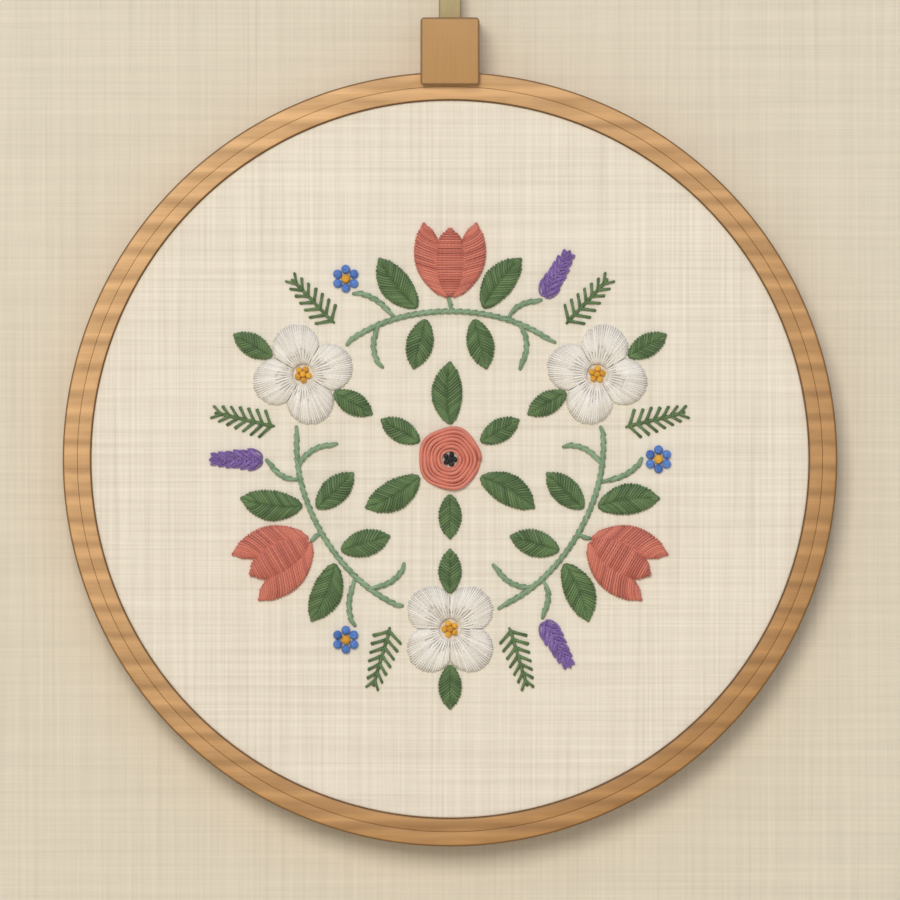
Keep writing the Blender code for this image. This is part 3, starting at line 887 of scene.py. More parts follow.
@dataclass
class Linen:
    """The one sheet of linen, drum-tight in front and run back between the rings."""

    workshop: Workshop
    thickness: float = 0.00060
    turn_r: float = 0.0004
    snug: float = 0.00006
    turn_parts: int = 6
    steps: int = 240

    def build(self) -> None:
        low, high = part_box("linen")
        outer_r = high.x + self.snug
        face = -low.y
        skirt = -high.y
        bm = bmesh.new()
        verts = [bm.verts.new(point) for point in self.profile(outer_r, face, skirt)]
        edges = [bm.edges.new(pair) for pair in zip(verts, verts[1:])]
        bmesh.ops.spin(bm, geom=verts + edges, cent=(0, 0, 0), axis=(0, 0, 1), dvec=(0, 0, 0),
                       angle=math.tau, steps=self.steps, use_merge=True)
        bmesh.ops.remove_doubles(bm, verts=bm.verts, dist=1e-6)
        bmesh.ops.recalc_face_normals(bm, faces=bm.faces)
        middle = min(bm.faces, key=lambda face: face.calc_center_median().xy.length)
        if middle.normal.z < 0:
            bmesh.ops.reverse_faces(bm, faces=bm.faces)
        mesh = plain_mesh(bm, "linen_sheet")
        mesh.shade_smooth()
        piece = self.workshop.deliver("linen_sheet", mesh, "linen_cloth",
                                      self.workshop.palette.linen, ["linen"])
        wall = piece.modifiers.new("cloth_thickness", "SOLIDIFY")
        wall.thickness = self.thickness
        wall.offset = -1.0

    def profile(self, outer_r: float, face: float, skirt: float) -> list[Vector]:
        """List the sheet's line from its middle, over the ring and back to its cut edge.

        Args:
            outer_r: Radius of the skirt.
            face: Height of the drum head.
            skirt: Height of the cut edge.

        Returns:
            Points in the plane of X and Z.
        """
        line = [Vector((0, 0, face))]
        line += [Vector((outer_r * share, 0, face)) for share in (0.25, 0.5, 0.75, 0.95)]
        for part in range(self.turn_parts + 1):
            turned = math.pi / 2 * part / self.turn_parts
            line.append(Vector((outer_r - self.turn_r * (1 - math.sin(turned)), 0,
                                face - self.turn_r * (1 - math.cos(turned)))))
        return line + [Vector((outer_r, 0, skirt))]


@dataclass
class HangingBlock:
    """The plain wooden block at the top, which covers the ring's joint and grips the tape."""

    workshop: Workshop
    corner_r: float = 0.0008
    edge_r: float = 0.00022
    ring_gap: float = 0.0001
    lip: float = 0.0015
    slot_depth: float = 0.0060
    slot_width: float = 0.0049
    slot_height: float = 0.0024
    cutter_depth: float = 0.0200
    corner_parts: int = 5
    edge_parts: int = 3
    ring_parts: int = 480

    def build(self) -> None:
        """Cut the block to sit over the ring and round its corners."""
        low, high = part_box("clamp_block")
        size = high - low
        bm = bmesh.new()
        bmesh.ops.create_cube(bm, size=1.0)
        bmesh.ops.scale(bm, verts=bm.verts, vec=(size.x, size.z, size.y))
        middle = Vector(((low.x + high.x) / 2, (low.z + high.z) / 2 - CENTRE_Z,
                         -(low.y + high.y) / 2))
        bmesh.ops.translate(bm, verts=bm.verts, vec=middle)
        uprights = [e for e in bm.edges if abs(e.verts[0].co.z - e.verts[1].co.z) > size.y / 2]
        bmesh.ops.bevel(bm, geom=uprights, offset=self.corner_r, segments=self.corner_parts,
                        profile=0.5, affect="EDGES", material=-1)
        block = self.loose(bm, "hanging_block")
        cut_front = -low.y - self.lip
        cut_r = HOOP_R + self.ring_gap
        ring = bmesh.new()
        bmesh.ops.create_cone(ring, cap_ends=True, segments=self.ring_parts, radius1=cut_r,
                              radius2=cut_r, depth=self.cutter_depth)
        bmesh.ops.translate(ring, verts=ring.verts, vec=(0, 0, cut_front - self.cutter_depth / 2))
        slot = bmesh.new()
        bmesh.ops.create_cube(slot, size=1.0)
        bmesh.ops.scale(slot, verts=slot.verts,
                        vec=(self.slot_width, 2 * self.slot_depth, self.slot_height))
        bmesh.ops.translate(slot, verts=slot.verts, vec=(0, high.z - CENTRE_Z, 0))
        for tool in (self.loose(ring, "ring_cutter"), self.loose(slot, "slot_cutter")):
            cut = block.modifiers.new(tool.name, "BOOLEAN")
            cut.object = tool
            cut.operation = "DIFFERENCE"
            cut.solver = "EXACT"
        ease = block.modifiers.new("eased_edges", "BEVEL")
        ease.width = self.edge_r
        ease.segments = self.edge_parts
        ease.limit_method = "ANGLE"
        ease.angle_limit = math.radians(40)
        graph = bpy.context.evaluated_depsgraph_get()
        mesh = bpy.data.meshes.new_from_object(block.evaluated_get(graph))
        for name in ("hanging_block", "ring_cutter", "slot_cutter"):
            bpy.data.objects.remove(bpy.data.objects[name])
        mesh.shade_smooth()
        mesh.set_sharp_from_angle(angle=math.radians(35))
        self.workshop.deliver("hanging_block", mesh, "block_wood", self.workshop.palette.block,
                              ["clamp_block"])

    @staticmethod
    def loose(bm: bmesh.types.BMesh, name: str) -> bpy.types.Object:
        """Put a bmesh in the scene as a plain object and free it."""
        return add_to_scene(name, plain_mesh(bm, name))


@dataclass
class HangingTape:
    """The flat cotton tape: two layers out of the block, a quarter turn and an eye."""

    workshop: Workshop
    width: float = 0.0047
    thickness: float = 0.0010
    edge_r: float = 0.00035
    layer_gap: float = 0.0003
    start: float = 0.0879
    turn_start: float = 0.0986
    turn_length: float = 0.0120
    eye_shoulder: float = 0.0090
    eye_inner_r: float = 0.0035
    eye_centre: float = 0.1196
    leg_parts: int = 44
    eye_parts: int = 36
    corner_parts: int = 4

    def build(self) -> None:
        """Sweep the tape's section along its whole length."""
        stations = self.stations()
        section = self.section()
        bm = bmesh.new()
        measure = bm.verts.layers.float_vector.new("tape_place")
        face = bm.faces.new([bm.verts.new() for _ in section])
        along = 0.0
        for index, (place, across, out) in enumerate(stations):
            if index > 0:
                along += (place - stations[index - 1][0]).length
                face = self.pull(bm, face, index == 1)
            for vert, (side, lift) in zip(face.verts, section):
                vert.co = place + across * side + out * lift
                vert[measure] = Vector((side, along, 0))
        mesh = mesh_of(bm, "hanging_tape_loop", 50)
        self.workshop.deliver("hanging_tape_loop", mesh, "cotton_tape",
                              self.workshop.palette.tape, ["hanging_tape"])

    @staticmethod
    def pull(bm: bmesh.types.BMesh, face: bmesh.types.BMFace,
             is_end: bool) -> bmesh.types.BMFace:
        """Extrude the tape's leading face by one part.

        Args:
            bm: The tape's bmesh.
            face: The leading face.
            is_end: Whether it closes the tape's first end and so stays.

        Returns:
            The new leading face.
        """
        made = bmesh.ops.extrude_face_region(bm, geom=[face])["geom"]
        ahead = next(item for item in made if isinstance(item, bmesh.types.BMFace))
        if not is_end:
            bmesh.ops.delete(bm, geom=[face], context="FACES_ONLY")
        return ahead

    def section(self) -> list[tuple[float, float]]:
        """List the rounded section.

        Returns:
            Its points as sideways and outward steps.
        """
        half_width = self.width / 2
        half_depth = self.thickness / 2
        corner = self.edge_r
        points = []
        for side, lift, start in ((1, 1, 0), (-1, 1, 90), (-1, -1, 180), (1, -1, 270)):
            for part in range(self.corner_parts + 1):
                turned = math.radians(start + 90 * part / self.corner_parts)
                points.append((side * (half_width - corner) + corner * math.cos(turned),
                               lift * (half_depth - corner) + corner * math.sin(turned)))
        return points

    def stations(self) -> list[tuple[Vector, Vector, Vector]]:
        """List the places along the tape from one end in the slot to the other.

        Returns:
            Place, sideways direction and outward direction of each.
        """
        reach = self.eye_inner_r + self.thickness / 2
        rise = self.eye_centre - self.start
        heights = [self.start + rise * part / self.leg_parts for part in range(self.leg_parts + 1)]
        front = [self.leg(1, height) for height in heights]
        behind = [self.leg(-1, height) for height in reversed(heights)]
        over = []
        for part in range(1, self.eye_parts):
            turned = math.pi * part / self.eye_parts
            out = Vector((math.cos(turned), math.sin(turned), 0))
            over.append((Vector((0, self.eye_centre, 0)) + out * reach, Vector((0, 0, -1)), out))
        return front + over + behind

    def leg(self, side: int, height: float) -> tuple[Vector, Vector, Vector]:
        """Find a place on one layer.

        Args:
            side: 1 for the layer in front, -1 for the one behind.
            height: Height above the hoop's middle.

        Returns:
            Place, sideways direction and outward direction.
        """
        turned = smooth_step(self.share(height - self.turn_start, self.turn_length)) * math.pi / 2
        shoulder = self.eye_centre - self.eye_shoulder
        parted = smooth_step(self.share(height - shoulder, self.eye_shoulder))
        closed = (self.thickness + self.layer_gap) / 2
        reach = closed + (self.eye_inner_r + self.thickness / 2 - closed) * parted
        out = Vector((math.sin(turned), 0, math.cos(turned))) * side
        across = Vector((math.cos(turned), 0, -math.sin(turned)))
        return Vector((0, height, 0)) + out * reach, across, out

    @staticmethod
    def share(distance: float, length: float) -> float:
        """Return how far along a length a distance is, from 0 to 1."""
        return min(max(distance / length, 0.0), 1.0)


@dataclass(frozen=True)
class Lamp:
    """A square area light that faces the hoop's middle."""

    name: str
    place: tuple[float, float, float]
    side: float
    watts: float
    tint: Colour = (1.0, 1.0, 1.0)

    def hang(self) -> None:
        """Put the lamp in the scene and turn it to the hoop."""
        data = bpy.data.lights.new(self.name, "AREA")
        data.color = self.tint
        data.size = self.side
        data.energy = self.watts
        lamp = add_to_scene(self.name, data)
        lamp.location = self.place
        aim = Vector((0, 0, CENTRE_Z)) - Vector(self.place)
        lamp.rotation_euler = aim.to_track_quat("-Z", "Y").to_euler()


@dataclass
class Studio:
    """Pale woven wall and floor, three lamps, an even room and the camera of the picture."""

    frame_width: float = 0.1908
    aim_above_centre: float = 0.00195
    lens: float = 400.0
    sensor: float = 36.0
    wall_gap: float = 0.0007
    floor_drop: float = 0.035
    sheet_half: float = 1.5
    wall_colour: Colour = (0.726, 0.670, 0.556)
    wall_gaps: Colour = (0.602, 0.556, 0.461)
    wall_slub: float = 0.10
    room_light: float = 0.435
    room_tint: Colour = (0.90, 1.02, 1.25)
    lamps: tuple[Lamp, ...] = (
        Lamp("key_light", (-0.39, -2.30, CENTRE_Z + 0.89), 1.05, 36.0, (1.075, 0.985, 0.840)),
        Lamp("fill_light", (0.60, -1.80, CENTRE_Z - 0.10), 1.40, 1.5),
        Lamp("back_light", (0.40, 2.60, CENTRE_Z + 1.20), 1.20, 26.0),
    )

    def build(self) -> None:
        """Set up the whole stage."""
        bpy.context.scene.view_settings.view_transform = "Standard"
        self.backdrop("wall", self.upright_sheet(HALF_DEPTH + self.wall_gap))
        self.backdrop("floor", self.level_sheet(CAD_LOW.z - self.floor_drop))
        for lamp in self.lamps:
            lamp.hang()
        self.room()
        self.camera()

    def room(self) -> None:
        """Light the room evenly and show the camera a plain wall colour beyond the stage."""
        world = bpy.data.worlds.new("soft_room")
        bpy.context.scene.world = world
        world.use_nodes = True
        kit = NodeKit(world.node_tree)
        room = world.node_tree.nodes["Background"]
        room.inputs["Color"].default_value = (*self.room_tint, 1)
        room.inputs["Strength"].default_value = self.room_light
        seen = kit.add("ShaderNodeBackground")
        seen.inputs["Color"].default_value = (*self.wall_colour, 1)
        choose = kit.add("ShaderNodeMixShader")
        kit.join(kit.add("ShaderNodeLightPath").outputs["Is Camera Ray"], choose.inputs[0])
        kit.join(room.outputs[0], choose.inputs[1])
        kit.join(seen.outputs[0], choose.inputs[2])
        kit.join(choose.outputs[0], world.node_tree.nodes["World Output"].inputs[0])

    def camera(self) -> None:
        """Point the camera straight at the hoop."""
        data = bpy.data.cameras.new("picture_camera")
        data.lens = self.lens
        data.sensor_width = self.sensor
        data.clip_start = 0.01
        camera = add_to_scene("picture_camera", data)
        distance = self.frame_width * self.lens / self.sensor
        camera.location = (0, -HALF_DEPTH - distance, CENTRE_Z + self.aim_above_centre)
        camera.rotation_euler = (math.pi / 2, 0, 0)
        bpy.context.scene.camera = camera

    def backdrop(self, name: str, bm: bmesh.types.BMesh) -> None:
        """Add a stage sheet of plain woven cloth, clear from behind and to the lamps.

        Args:
            name: The sheet's name.
            bm: Its shape, which is freed.
        """
        mesh = plain_mesh(bm, name)
        sheet = add_to_scene(name, mesh)
        material, kit, shader = blank_material(name + "_cloth")
        weave = kit.add("ShaderNodeGroup", node_tree=WEAVE)
        weave.inputs["Pitch"].default_value = THREAD_PITCH
        weave.inputs["Slub"].default_value = self.wall_slub
        kit.join(kit.add("ShaderNodeTexCoord").outputs["Object"], weave.inputs["Vector"])
        kit.join(kit.blend(weave.outputs["Shade"], self.wall_gaps, self.wall_colour),
                 shader.inputs["Base Color"])
        shader.inputs["Roughness"].default_value = 0.95
        clear = kit.add("ShaderNodeBsdfTransparent")
        choose = kit.add("ShaderNodeMixShader")
        behind = kit.add("ShaderNodeNewGeometry").outputs["Backfacing"]
        shadow = kit.add("ShaderNodeLightPath").outputs["Is Shadow Ray"]
        kit.join(kit.math("MAXIMUM", behind, shadow), choose.inputs[0])
        kit.join(shader.outputs[0], choose.inputs[1])
        kit.join(clear.outputs[0], choose.inputs[2])
        kit.join(choose.outputs[0], material.node_tree.nodes["Material Output"].inputs[0])
        mesh.materials.append(material)

    def upright_sheet(self, depth: float) -> bmesh.types.BMesh:
        """Make a wall that faces the camera.

        Args:
            depth: Its distance behind the hoop's own plane.

        Returns:
            The wall's bmesh.
        """
        bm = self.level_sheet(0.0)
        bmesh.ops.rotate(bm, verts=bm.verts, cent=(0, 0, 0),
                         matrix=Matrix.Rotation(math.pi / 2, 3, "X"))
        bmesh.ops.translate(bm, verts=bm.verts, vec=(0, depth, CENTRE_Z))
        return bm

    def level_sheet(self, height: float) -> bmesh.types.BMesh:
        """Make a square sheet that faces up.

        Args:
            height: Its height.

        Returns:
            The sheet's bmesh.
        """
        bm = bmesh.new()
        bmesh.ops.create_grid(bm, x_segments=1, y_segments=1, size=self.sheet_half)
        bmesh.ops.translate(bm, verts=bm.verts, vec=(0, 0, height))
        return bm


@dataclass
class StitchBundle:
    """The threads and the padding of one motif, in its own axes, from the linen's face up."""

    name: str
    sides: int = 1
    tones: int = 6
    gauge: float = 0.00025
    dip: float = 1.2
    pad_sink: float = 0.00012
    pad_root: float = 0.00008
    lines: list[tuple[list[Vector], float]] = field(default_factory=list)
    pads: list[bpy.types.Mesh] = field(default_factory=list)

    def __post_init__(self) -> None:
        """Seed the small differences between stitches by the motif's name."""
        self.hand = random.Random("stitches of " + self.name)

    def lay(self, points: Sequence[Vector], radius: float) -> None:
        """Add one thread.

        Args:
            points: Its middle line.
            radius: Its radius.
        """
        self.lines.append((list(points), radius))

    def stitch(self, points: Sequence[Vector], radius: float) -> None:
        """Add one stitch, whose two ends go down through the linen.

        Args:
            points: Its middle line above the linen.
            radius: Its radius.
        """
        first, last = [Vector((end.x, end.y, -radius * self.dip)) for end in (points[0], points[-1])]
        self.lay([first, *points, last], radius)

    def pad(self, surface: Callable[[float, float], Vector], along: int, across: int) -> None:
        """Add a closed pad under a fill of stitches.

        Args:
            surface: The place at a share along and a side from -1 to 1.
            along: Grid parts along.
            across: Grid parts across.
        """
        bm = bmesh.new()
        bmesh.ops.create_grid(bm, x_segments=along, y_segments=across, size=0.5)
        made = bmesh.ops.extrude_face_region(bm, geom=bm.faces[:])["geom"]
        upper = {item for item in made if isinstance(item, bmesh.types.BMVert)}
        for vert in bm.verts:
            place = surface(vert.co.x + 0.5, vert.co.y * 2)
            crown = max(place.z - self.pad_sink, 0.00002)
            vert.co = Vector((place.x, place.y, crown if vert in upper else -self.pad_root))
        bmesh.ops.recalc_face_normals(bm, faces=bm.faces)
        self.pads.append(plain_mesh(bm, "pad"))

    def mesh(self) -> bpy.types.Mesh:
        """Round every thread and join threads and pads.

        Returns:
            The motif's mesh.
        """
        curve = bpy.data.curves.new(self.name, "CURVE")
        curve.dimensions = "3D"
        curve.bevel_depth = self.gauge
        curve.bevel_resolution = self.sides
        curve.use_fill_caps = True
        for _ in range(self.tones):
            curve.materials.append(None)
        for points, radius in self.lines:
            spline = curve.splines.new("POLY")
            spline.points.add(len(points) - 1)
            spline.material_index = self.hand.randrange(self.tones)
            for slot, point in zip(spline.points, points):
                slot.co = (*point, 1)
                slot.radius = radius / self.gauge
        holder = bpy.data.objects.new(self.name, curve)
        threads = bpy.data.meshes.new_from_object(holder)
        bpy.data.objects.remove(holder)
        self.mark_tones(threads)
        threads.materials.clear()
        bm = bmesh.new()
        bm.from_mesh(threads)
        for pad in self.pads:
            bm.from_mesh(pad)
        mesh = plain_mesh(bm, self.name)
        mesh.shade_smooth()
        mesh.set_sharp_from_angle(angle=math.radians(75))
        return mesh

    def mark_tones(self, threads: bpy.types.Mesh) -> None:
        """Keep each thread's own tone, from 0 for pale to 1 for deep, as an attribute.

        Args:
            threads: The mesh of the rounded threads.
        """
        values = [0.0] * len(threads.vertices)
        for polygon in threads.polygons:
            for vertex in polygon.vertices:
                values[vertex] = polygon.material_index / (self.tones - 1)
            polygon.material_index = 0
        tones = threads.attributes.new("tone", "FLOAT", "POINT")
        tones.data.foreach_set("value", values)


@dataclass(frozen=True)
class LeafShape:
    """A pointed oval that curves to one side and is higher along its middle."""

    length: float
    half_width: float
    height: float
    bend: float = 0.0

    def at(self, share: float, side: float) -> Vector:
        """Find a place on its surface.

        Args:
            share: The share of its length.
            side: From -1 to 1 across.

        Returns:
            The place above the linen.
        """
        share = min(max(share, 0.0), 1.0)
        fullness = math.sin(math.pi * (0.05 + 0.91 * share)) ** 0.8
        spine = self.bend * (share * share - share) * 2
        crown = math.sqrt(max(0.0, 1 - 0.8 * side * side))
        lift = self.height * (0.45 + 0.55 * fullness) * crown
        fullness *= min(1.0, (1.03 - share) / 0.13, (share + 0.05) / 0.11)
        return Vector((spine + side * self.half_width * fullness, self.length * share, lift))


@dataclass(frozen=True)
class SatinStitch:
    """Close flat stitches that cover a leaf or petal."""

    fill: Fill
    width: float = 0.00050
    radius: float = 0.00027
    slant: float = 0.20
    parts: int = 4
    lift: float = 0.00008
    crease: float = 0.00022
    crease_share: float = 0.25
    pad_share: float = 0.94
    pad_grid: tuple[int, int] = (14, 8)
    unevenness: float = 0.004

    def cover(self, bundle: StitchBundle, shape: LeafShape, place: Matrix) -> None:
        """Cover a shape with its pad and stitches.

        Args:
            bundle: Where they go.
            shape: The shape to cover.
            place: Where the shape lies in the motif.
        """
        bundle.pad(lambda share, side: place @ shape.at(share, side * self.pad_share),
                   *self.pad_grid)
        reach = shape.half_width * (1 if self.fill is Fill.FISHBONE else 2)
        pitch = self.width * math.hypot(1, self.slant * shape.length / reach)
        count = round(shape.length / pitch)
        for index in range(-round(count * abs(self.slant)) - 1, count + 3):
            middle = (index + 0.5) / count
            if self.fill is Fill.FISHBONE:
                for side in (-1, 1):
                    self.half(bundle, shape, place, middle, side)
            else:
                self.span(bundle, shape, place, middle)

    def half(self, bundle: StitchBundle, shape: LeafShape, place: Matrix, middle: float,
             side: int) -> None:
        """Lay one slanted stitch from the midrib to an edge.

        Args:
            bundle: Where it goes.
            shape: The shape to cover.
            place: Where the shape lies in the motif.
            middle: The share of the length where it leaves the midrib.
            side: 1 for the right half, -1 for the left.
        """
        edge = middle + self.slant + bundle.hand.uniform(-self.unevenness, self.unevenness)
        reach = side * bundle.hand.uniform(0.98, 1.03)
        if edge <= 0.01 or middle >= 0.97:
            return
        start = max(0.0, -middle / (edge - middle)) if middle < 0 else 0.0
        points = []
        for part in range(self.parts + 1):
            share = start + (1 - start) * part / self.parts
            point = shape.at(middle + (edge - middle) * share, reach * share)
            crease = self.crease * (1 - min(1.0, share / self.crease_share))
            points.append(place @ (point + Vector((0, 0, self.lift - crease))))
        bundle.stitch(points, self.radius)

    def span(self, bundle: StitchBundle, shape: LeafShape, place: Matrix, middle: float) -> None:
        """Lay one slanted stitch from edge to edge.

        Args:
            bundle: Where it goes.
            shape: The shape to cover.
            place: Where the shape lies in the motif.
            middle: The share of the length where it crosses the middle.
        """
        uneven = self.unevenness * 0.75
        low = middle - self.slant / 2 + bundle.hand.uniform(-uneven, uneven)
        high = middle + self.slant / 2 + bundle.hand.uniform(-uneven, uneven)
        points = []
        parts = self.parts * 2
        for part in range(parts + 1):
            side = -1 + 2 * part / parts
            share = low + (high - low) * part / parts
            if -0.01 <= share <= 1.01:
                point = shape.at(share, side)
                points.append(place @ (point + Vector((0, 0, self.lift))))
        if len(points) > 2:
            bundle.stitch(points, self.radius)


@dataclass(frozen=True)
class FlowerStitch:
    """A white flower: four petals of long and short stitches round an open eye."""

    petal_r: float = 0.0106
    eye_r: float = 0.0024
    notch: float = 0.58
    crown: float = 0.0011
    radius: float = 0.00024
    lift: float = 0.00009
    petals: int = 4
    half_turn: float = 43.5
    inner_threads: int = 11
    inner_stop: float = 0.66
    outer_threads: int = 31
    outer_start: float = 0.34
    parts: int = 5
    pad_grid: tuple[int, int] = (12, 16)

    def at(self, middle: float, share: float, side: float) -> Vector:
        """Find a place on one petal.

        Args:
            middle: The petal's direction in degrees.
            share: From the eye to the rim.
            side: From -1 to 1 across.

        Returns:
            The place above the linen.
        """
        turn = side * self.half_turn
        fullness = math.cos(math.radians(turn * 2)) ** 0.7
        rim = self.petal_r * (self.notch + (1 - self.notch) * fullness)
        lift = self.crown * (0.55 + 0.45 * math.sin(math.pi * min(share, 1.0) ** 0.8))
        lift *= math.sqrt(max(0.0, 1 - 0.75 * side * side)) * (1 - 0.45 * max(0.0, share) ** 6)
        return circle_point(math.radians(middle + turn), self.eye_r + (rim - self.eye_r) * share,
                            lift)

    def build(self, bundle: StitchBundle) -> None:
        """Stitch the whole flower, each petal with a row of threads at the eye and one at the rim.

        Args:
            bundle: Where the stitches go.
        """
        for petal in range(self.petals):
            middle = 360 / self.petals * (petal + 0.5)
            bundle.pad(lambda share, side, middle=middle: self.at(middle, share, side),
                       *self.pad_grid)
            for index in range(self.inner_threads):
                side = -1 + 2 * (index + 0.5) / self.inner_threads
                stop = self.inner_stop + bundle.hand.uniform(-0.10, 0.10)
                self.thread(bundle, middle, side, 0.0, stop)
            for index in range(self.outer_threads):
                side = -1 + 2 * (index + 0.5) / self.outer_threads
                start = self.outer_start + bundle.hand.uniform(-0.12, 0.14)
                stop = 1.0 + bundle.hand.uniform(-0.015, 0.02)
                self.thread(bundle, middle, side, start, stop)

    def thread(self, bundle: StitchBundle, middle: float, side: float, start: float,
               stop: float) -> None:
        """Lay one stitch of a petal.

        Args:
            bundle: Where it goes.
            middle: The petal's direction in degrees.
            side: From -1 to 1 across the petal.
            start: The share from eye to rim where it starts.
            stop: The share where it stops.
        """
        points = []
        for part in range(self.parts + 1):
            share = start + (stop - start) * part / self.parts
            points.append(self.at(middle, share, side) + Vector((0, 0, self.lift)))
        bundle.stitch(points, self.radius)


@dataclass(frozen=True)
class WheelStitch:
    """A woven rose: a thread led round and round over and under five spokes.

    Its outer end is tucked in by a share of the pitch over the first part of a turn.
    """

    inner_r: float = 0.0021
    outer_r: float = 0.0067
    pitch: float = 0.00076
    radius: float = 0.00043
    lift: float = 0.0011
    wave: float = 0.00034
    lobe: float = 0.035
    spokes: int = 5
    turn_parts: int = 40
    tuck: float = 0.8
    tuck_angle: float = 1.6
    pad_grid: tuple[int, int] = (10, 40)

    def build(self, bundle: StitchBundle) -> None:
        """Weave the rose from its rim inwards.

        Args:
            bundle: Where the thread and its pad go.
        """
        bundle.pad(self.dome, *self.pad_grid)
        turns = (self.outer_r - self.inner_r) / self.pitch
        parts = int(turns * self.turn_parts)
        points = []
        for part in range(parts + 1):
            angle = math.tau * turns * part / parts
            reach = self.outer_r - self.pitch * angle / math.tau
            reach -= self.pitch * self.tuck * max(0.0, 1 - angle / self.tuck_angle) ** 1.5
            reach *= 1 + self.lobe * math.cos(self.spokes * angle) * reach / self.outer_r
            rise = self.lift * (1 - 0.42 * (reach / self.outer_r) ** 2.4)
            rise += self.wave * math.cos(self.spokes / 2 * angle)
            points.append(circle_point(angle, reach, rise))
        bundle.stitch(points, self.radius)

    def dome(self, share: float, side: float) -> Vector:
        """Find a place on the low dome under the weave.

        Args:
            share: From the dome's eye to its rim.
            side: From -1 to 1 round it.

        Returns:
            The place above the linen.
        """
        inner = self.inner_r * 0.8
        distance = inner + (self.outer_r * 0.97 - inner) * share
        return circle_point(math.pi * side, distance, self.lift * 0.75 * (1 - 0.5 * share ** 2))


@dataclass(frozen=True)
class StemStitch:
    """A rope-like line of stitches, each laid half over the last."""

    step: float = 0.00165
    length: float = 0.0030
    radius: float = 0.00039
    offset: float = 0.00034
    lift: float = 0.00055
    parts: int = 5

    def follow(self, bundle: StitchBundle, line: Callable[[float], Vector], size: float) -> None:
        """Stitch along a line.

        Args:
            bundle: Where the stitches go.
            line: The place at a share of the line.
            size: The line's length.
        """
        count = max(2, round(size / self.step))
        for index in range(count):
            start = index / count
            stop = min(1.0, start + self.length / size)
            points = []
            for part in range(self.parts + 1):
                share = start + (stop - start) * part / self.parts
                ahead = line(min(1.0, share + 0.01)) - line(max(0.0, share - 0.01))
                sideways = Vector((-ahead.y, ahead.x, 0)).normalized()
                lean = (part / self.parts - 0.5) * 2 * self.offset
                rise = self.lift * math.sin(math.pi * (0.12 + 0.76 * part / self.parts))
                points.append(line(share) + sideways * lean + Vector((0, 0, rise)))
            bundle.stitch(points, self.radius)


@dataclass(frozen=True)
class KnotStitch:
    """A heap of French knots: a ring of them round one more."""

    knots: int
    knot_r: float
    height: float
    ring_rise: float = 0.9
    middle_rise: float = 1.1
    gauge_share: float = 0.46
    turns: float = 2.3
    closing: float = 0.55
    parts: int = 28

    def build(self, bundle: StitchBundle, middle: StitchBundle) -> None:
        """Tie the ring's knots and the middle one.

        Args:
            bundle: Where the ring's knots go.
            middle: Where the middle knot goes.
        """
        reach = self.knot_r / math.sin(math.pi / self.knots)
        for index in range(self.knots):
            self.tie(bundle, circle_point(math.tau * index / self.knots, reach), self.ring_rise)
        self.tie(middle, Vector((0, 0, 0)), self.middle_rise)

    def tie(self, bundle: StitchBundle, place: Vector, rise: float) -> None:
        """Coil one knot and take its end down through its middle.

        Args:
            bundle: Where the thread goes.
            place: The knot's middle on the linen.
            rise: Its height as a share of the heap's.
        """
        gauge = self.knot_r * self.gauge_share
        ring_r = self.knot_r - gauge
        begin = bundle.hand.uniform(0, math.tau)
        foot = gauge * 0.5
        top = self.height * rise - gauge
        points = []
        for part in range(self.parts + 1):
            share = part / self.parts
            closed = max(0.0, share - self.closing) / (1 - self.closing)
            reach = ring_r * (1 - 0.55 * closed)
            points.append(place + circle_point(begin + math.tau * self.turns * share, reach,
                                               foot + (top - foot) * share))
        points.append(place + Vector((0, 0, top - foot)))
        bundle.lay(points, gauge)


@dataclass(frozen=True)
class FernStitch:
    """Pairs of straight stitches that slant from a middle line."""

    length: float = 0.0135
    half_width: float = 0.0030
    pairs: int = 7
    radius: float = 0.00030
    slant: float = 0.15
    spine_share: float = 0.94
    first_pair: float = 0.04
    pair_spread: float = 0.80

    def build(self, bundle: StitchBundle) -> None:
        """Stitch the middle line and the pairs.

        Args:
            bundle: Where the stitches go.
        """
        stem = StemStitch(step=0.0012, length=0.0021, radius=0.00032, offset=0.00010, lift=0.00035)
        spine = self.length * self.spine_share
        stem.follow(bundle, lambda share: Vector((0, spine * share, 0)), spine)
        for index in range(self.pairs):
            share = self.first_pair + self.pair_spread * index / (self.pairs - 1)
            reach = self.half_width * (1 - 0.72 * share ** 1.3)
            for side in (-1, 1):
                for strand in (0, 1):
                    foot = Vector((0, self.length * (share + 0.018 * strand), 0.00040))
                    tip = Vector((side * reach * bundle.hand.uniform(0.93, 1.04),
                                  self.length * (share + self.slant - 0.012 * strand), 0.00022))
                    middle = foot.lerp(tip, 0.5) + Vector((0, 0, 0.00014))
                    bundle.stitch([foot, middle, tip], self.radius)


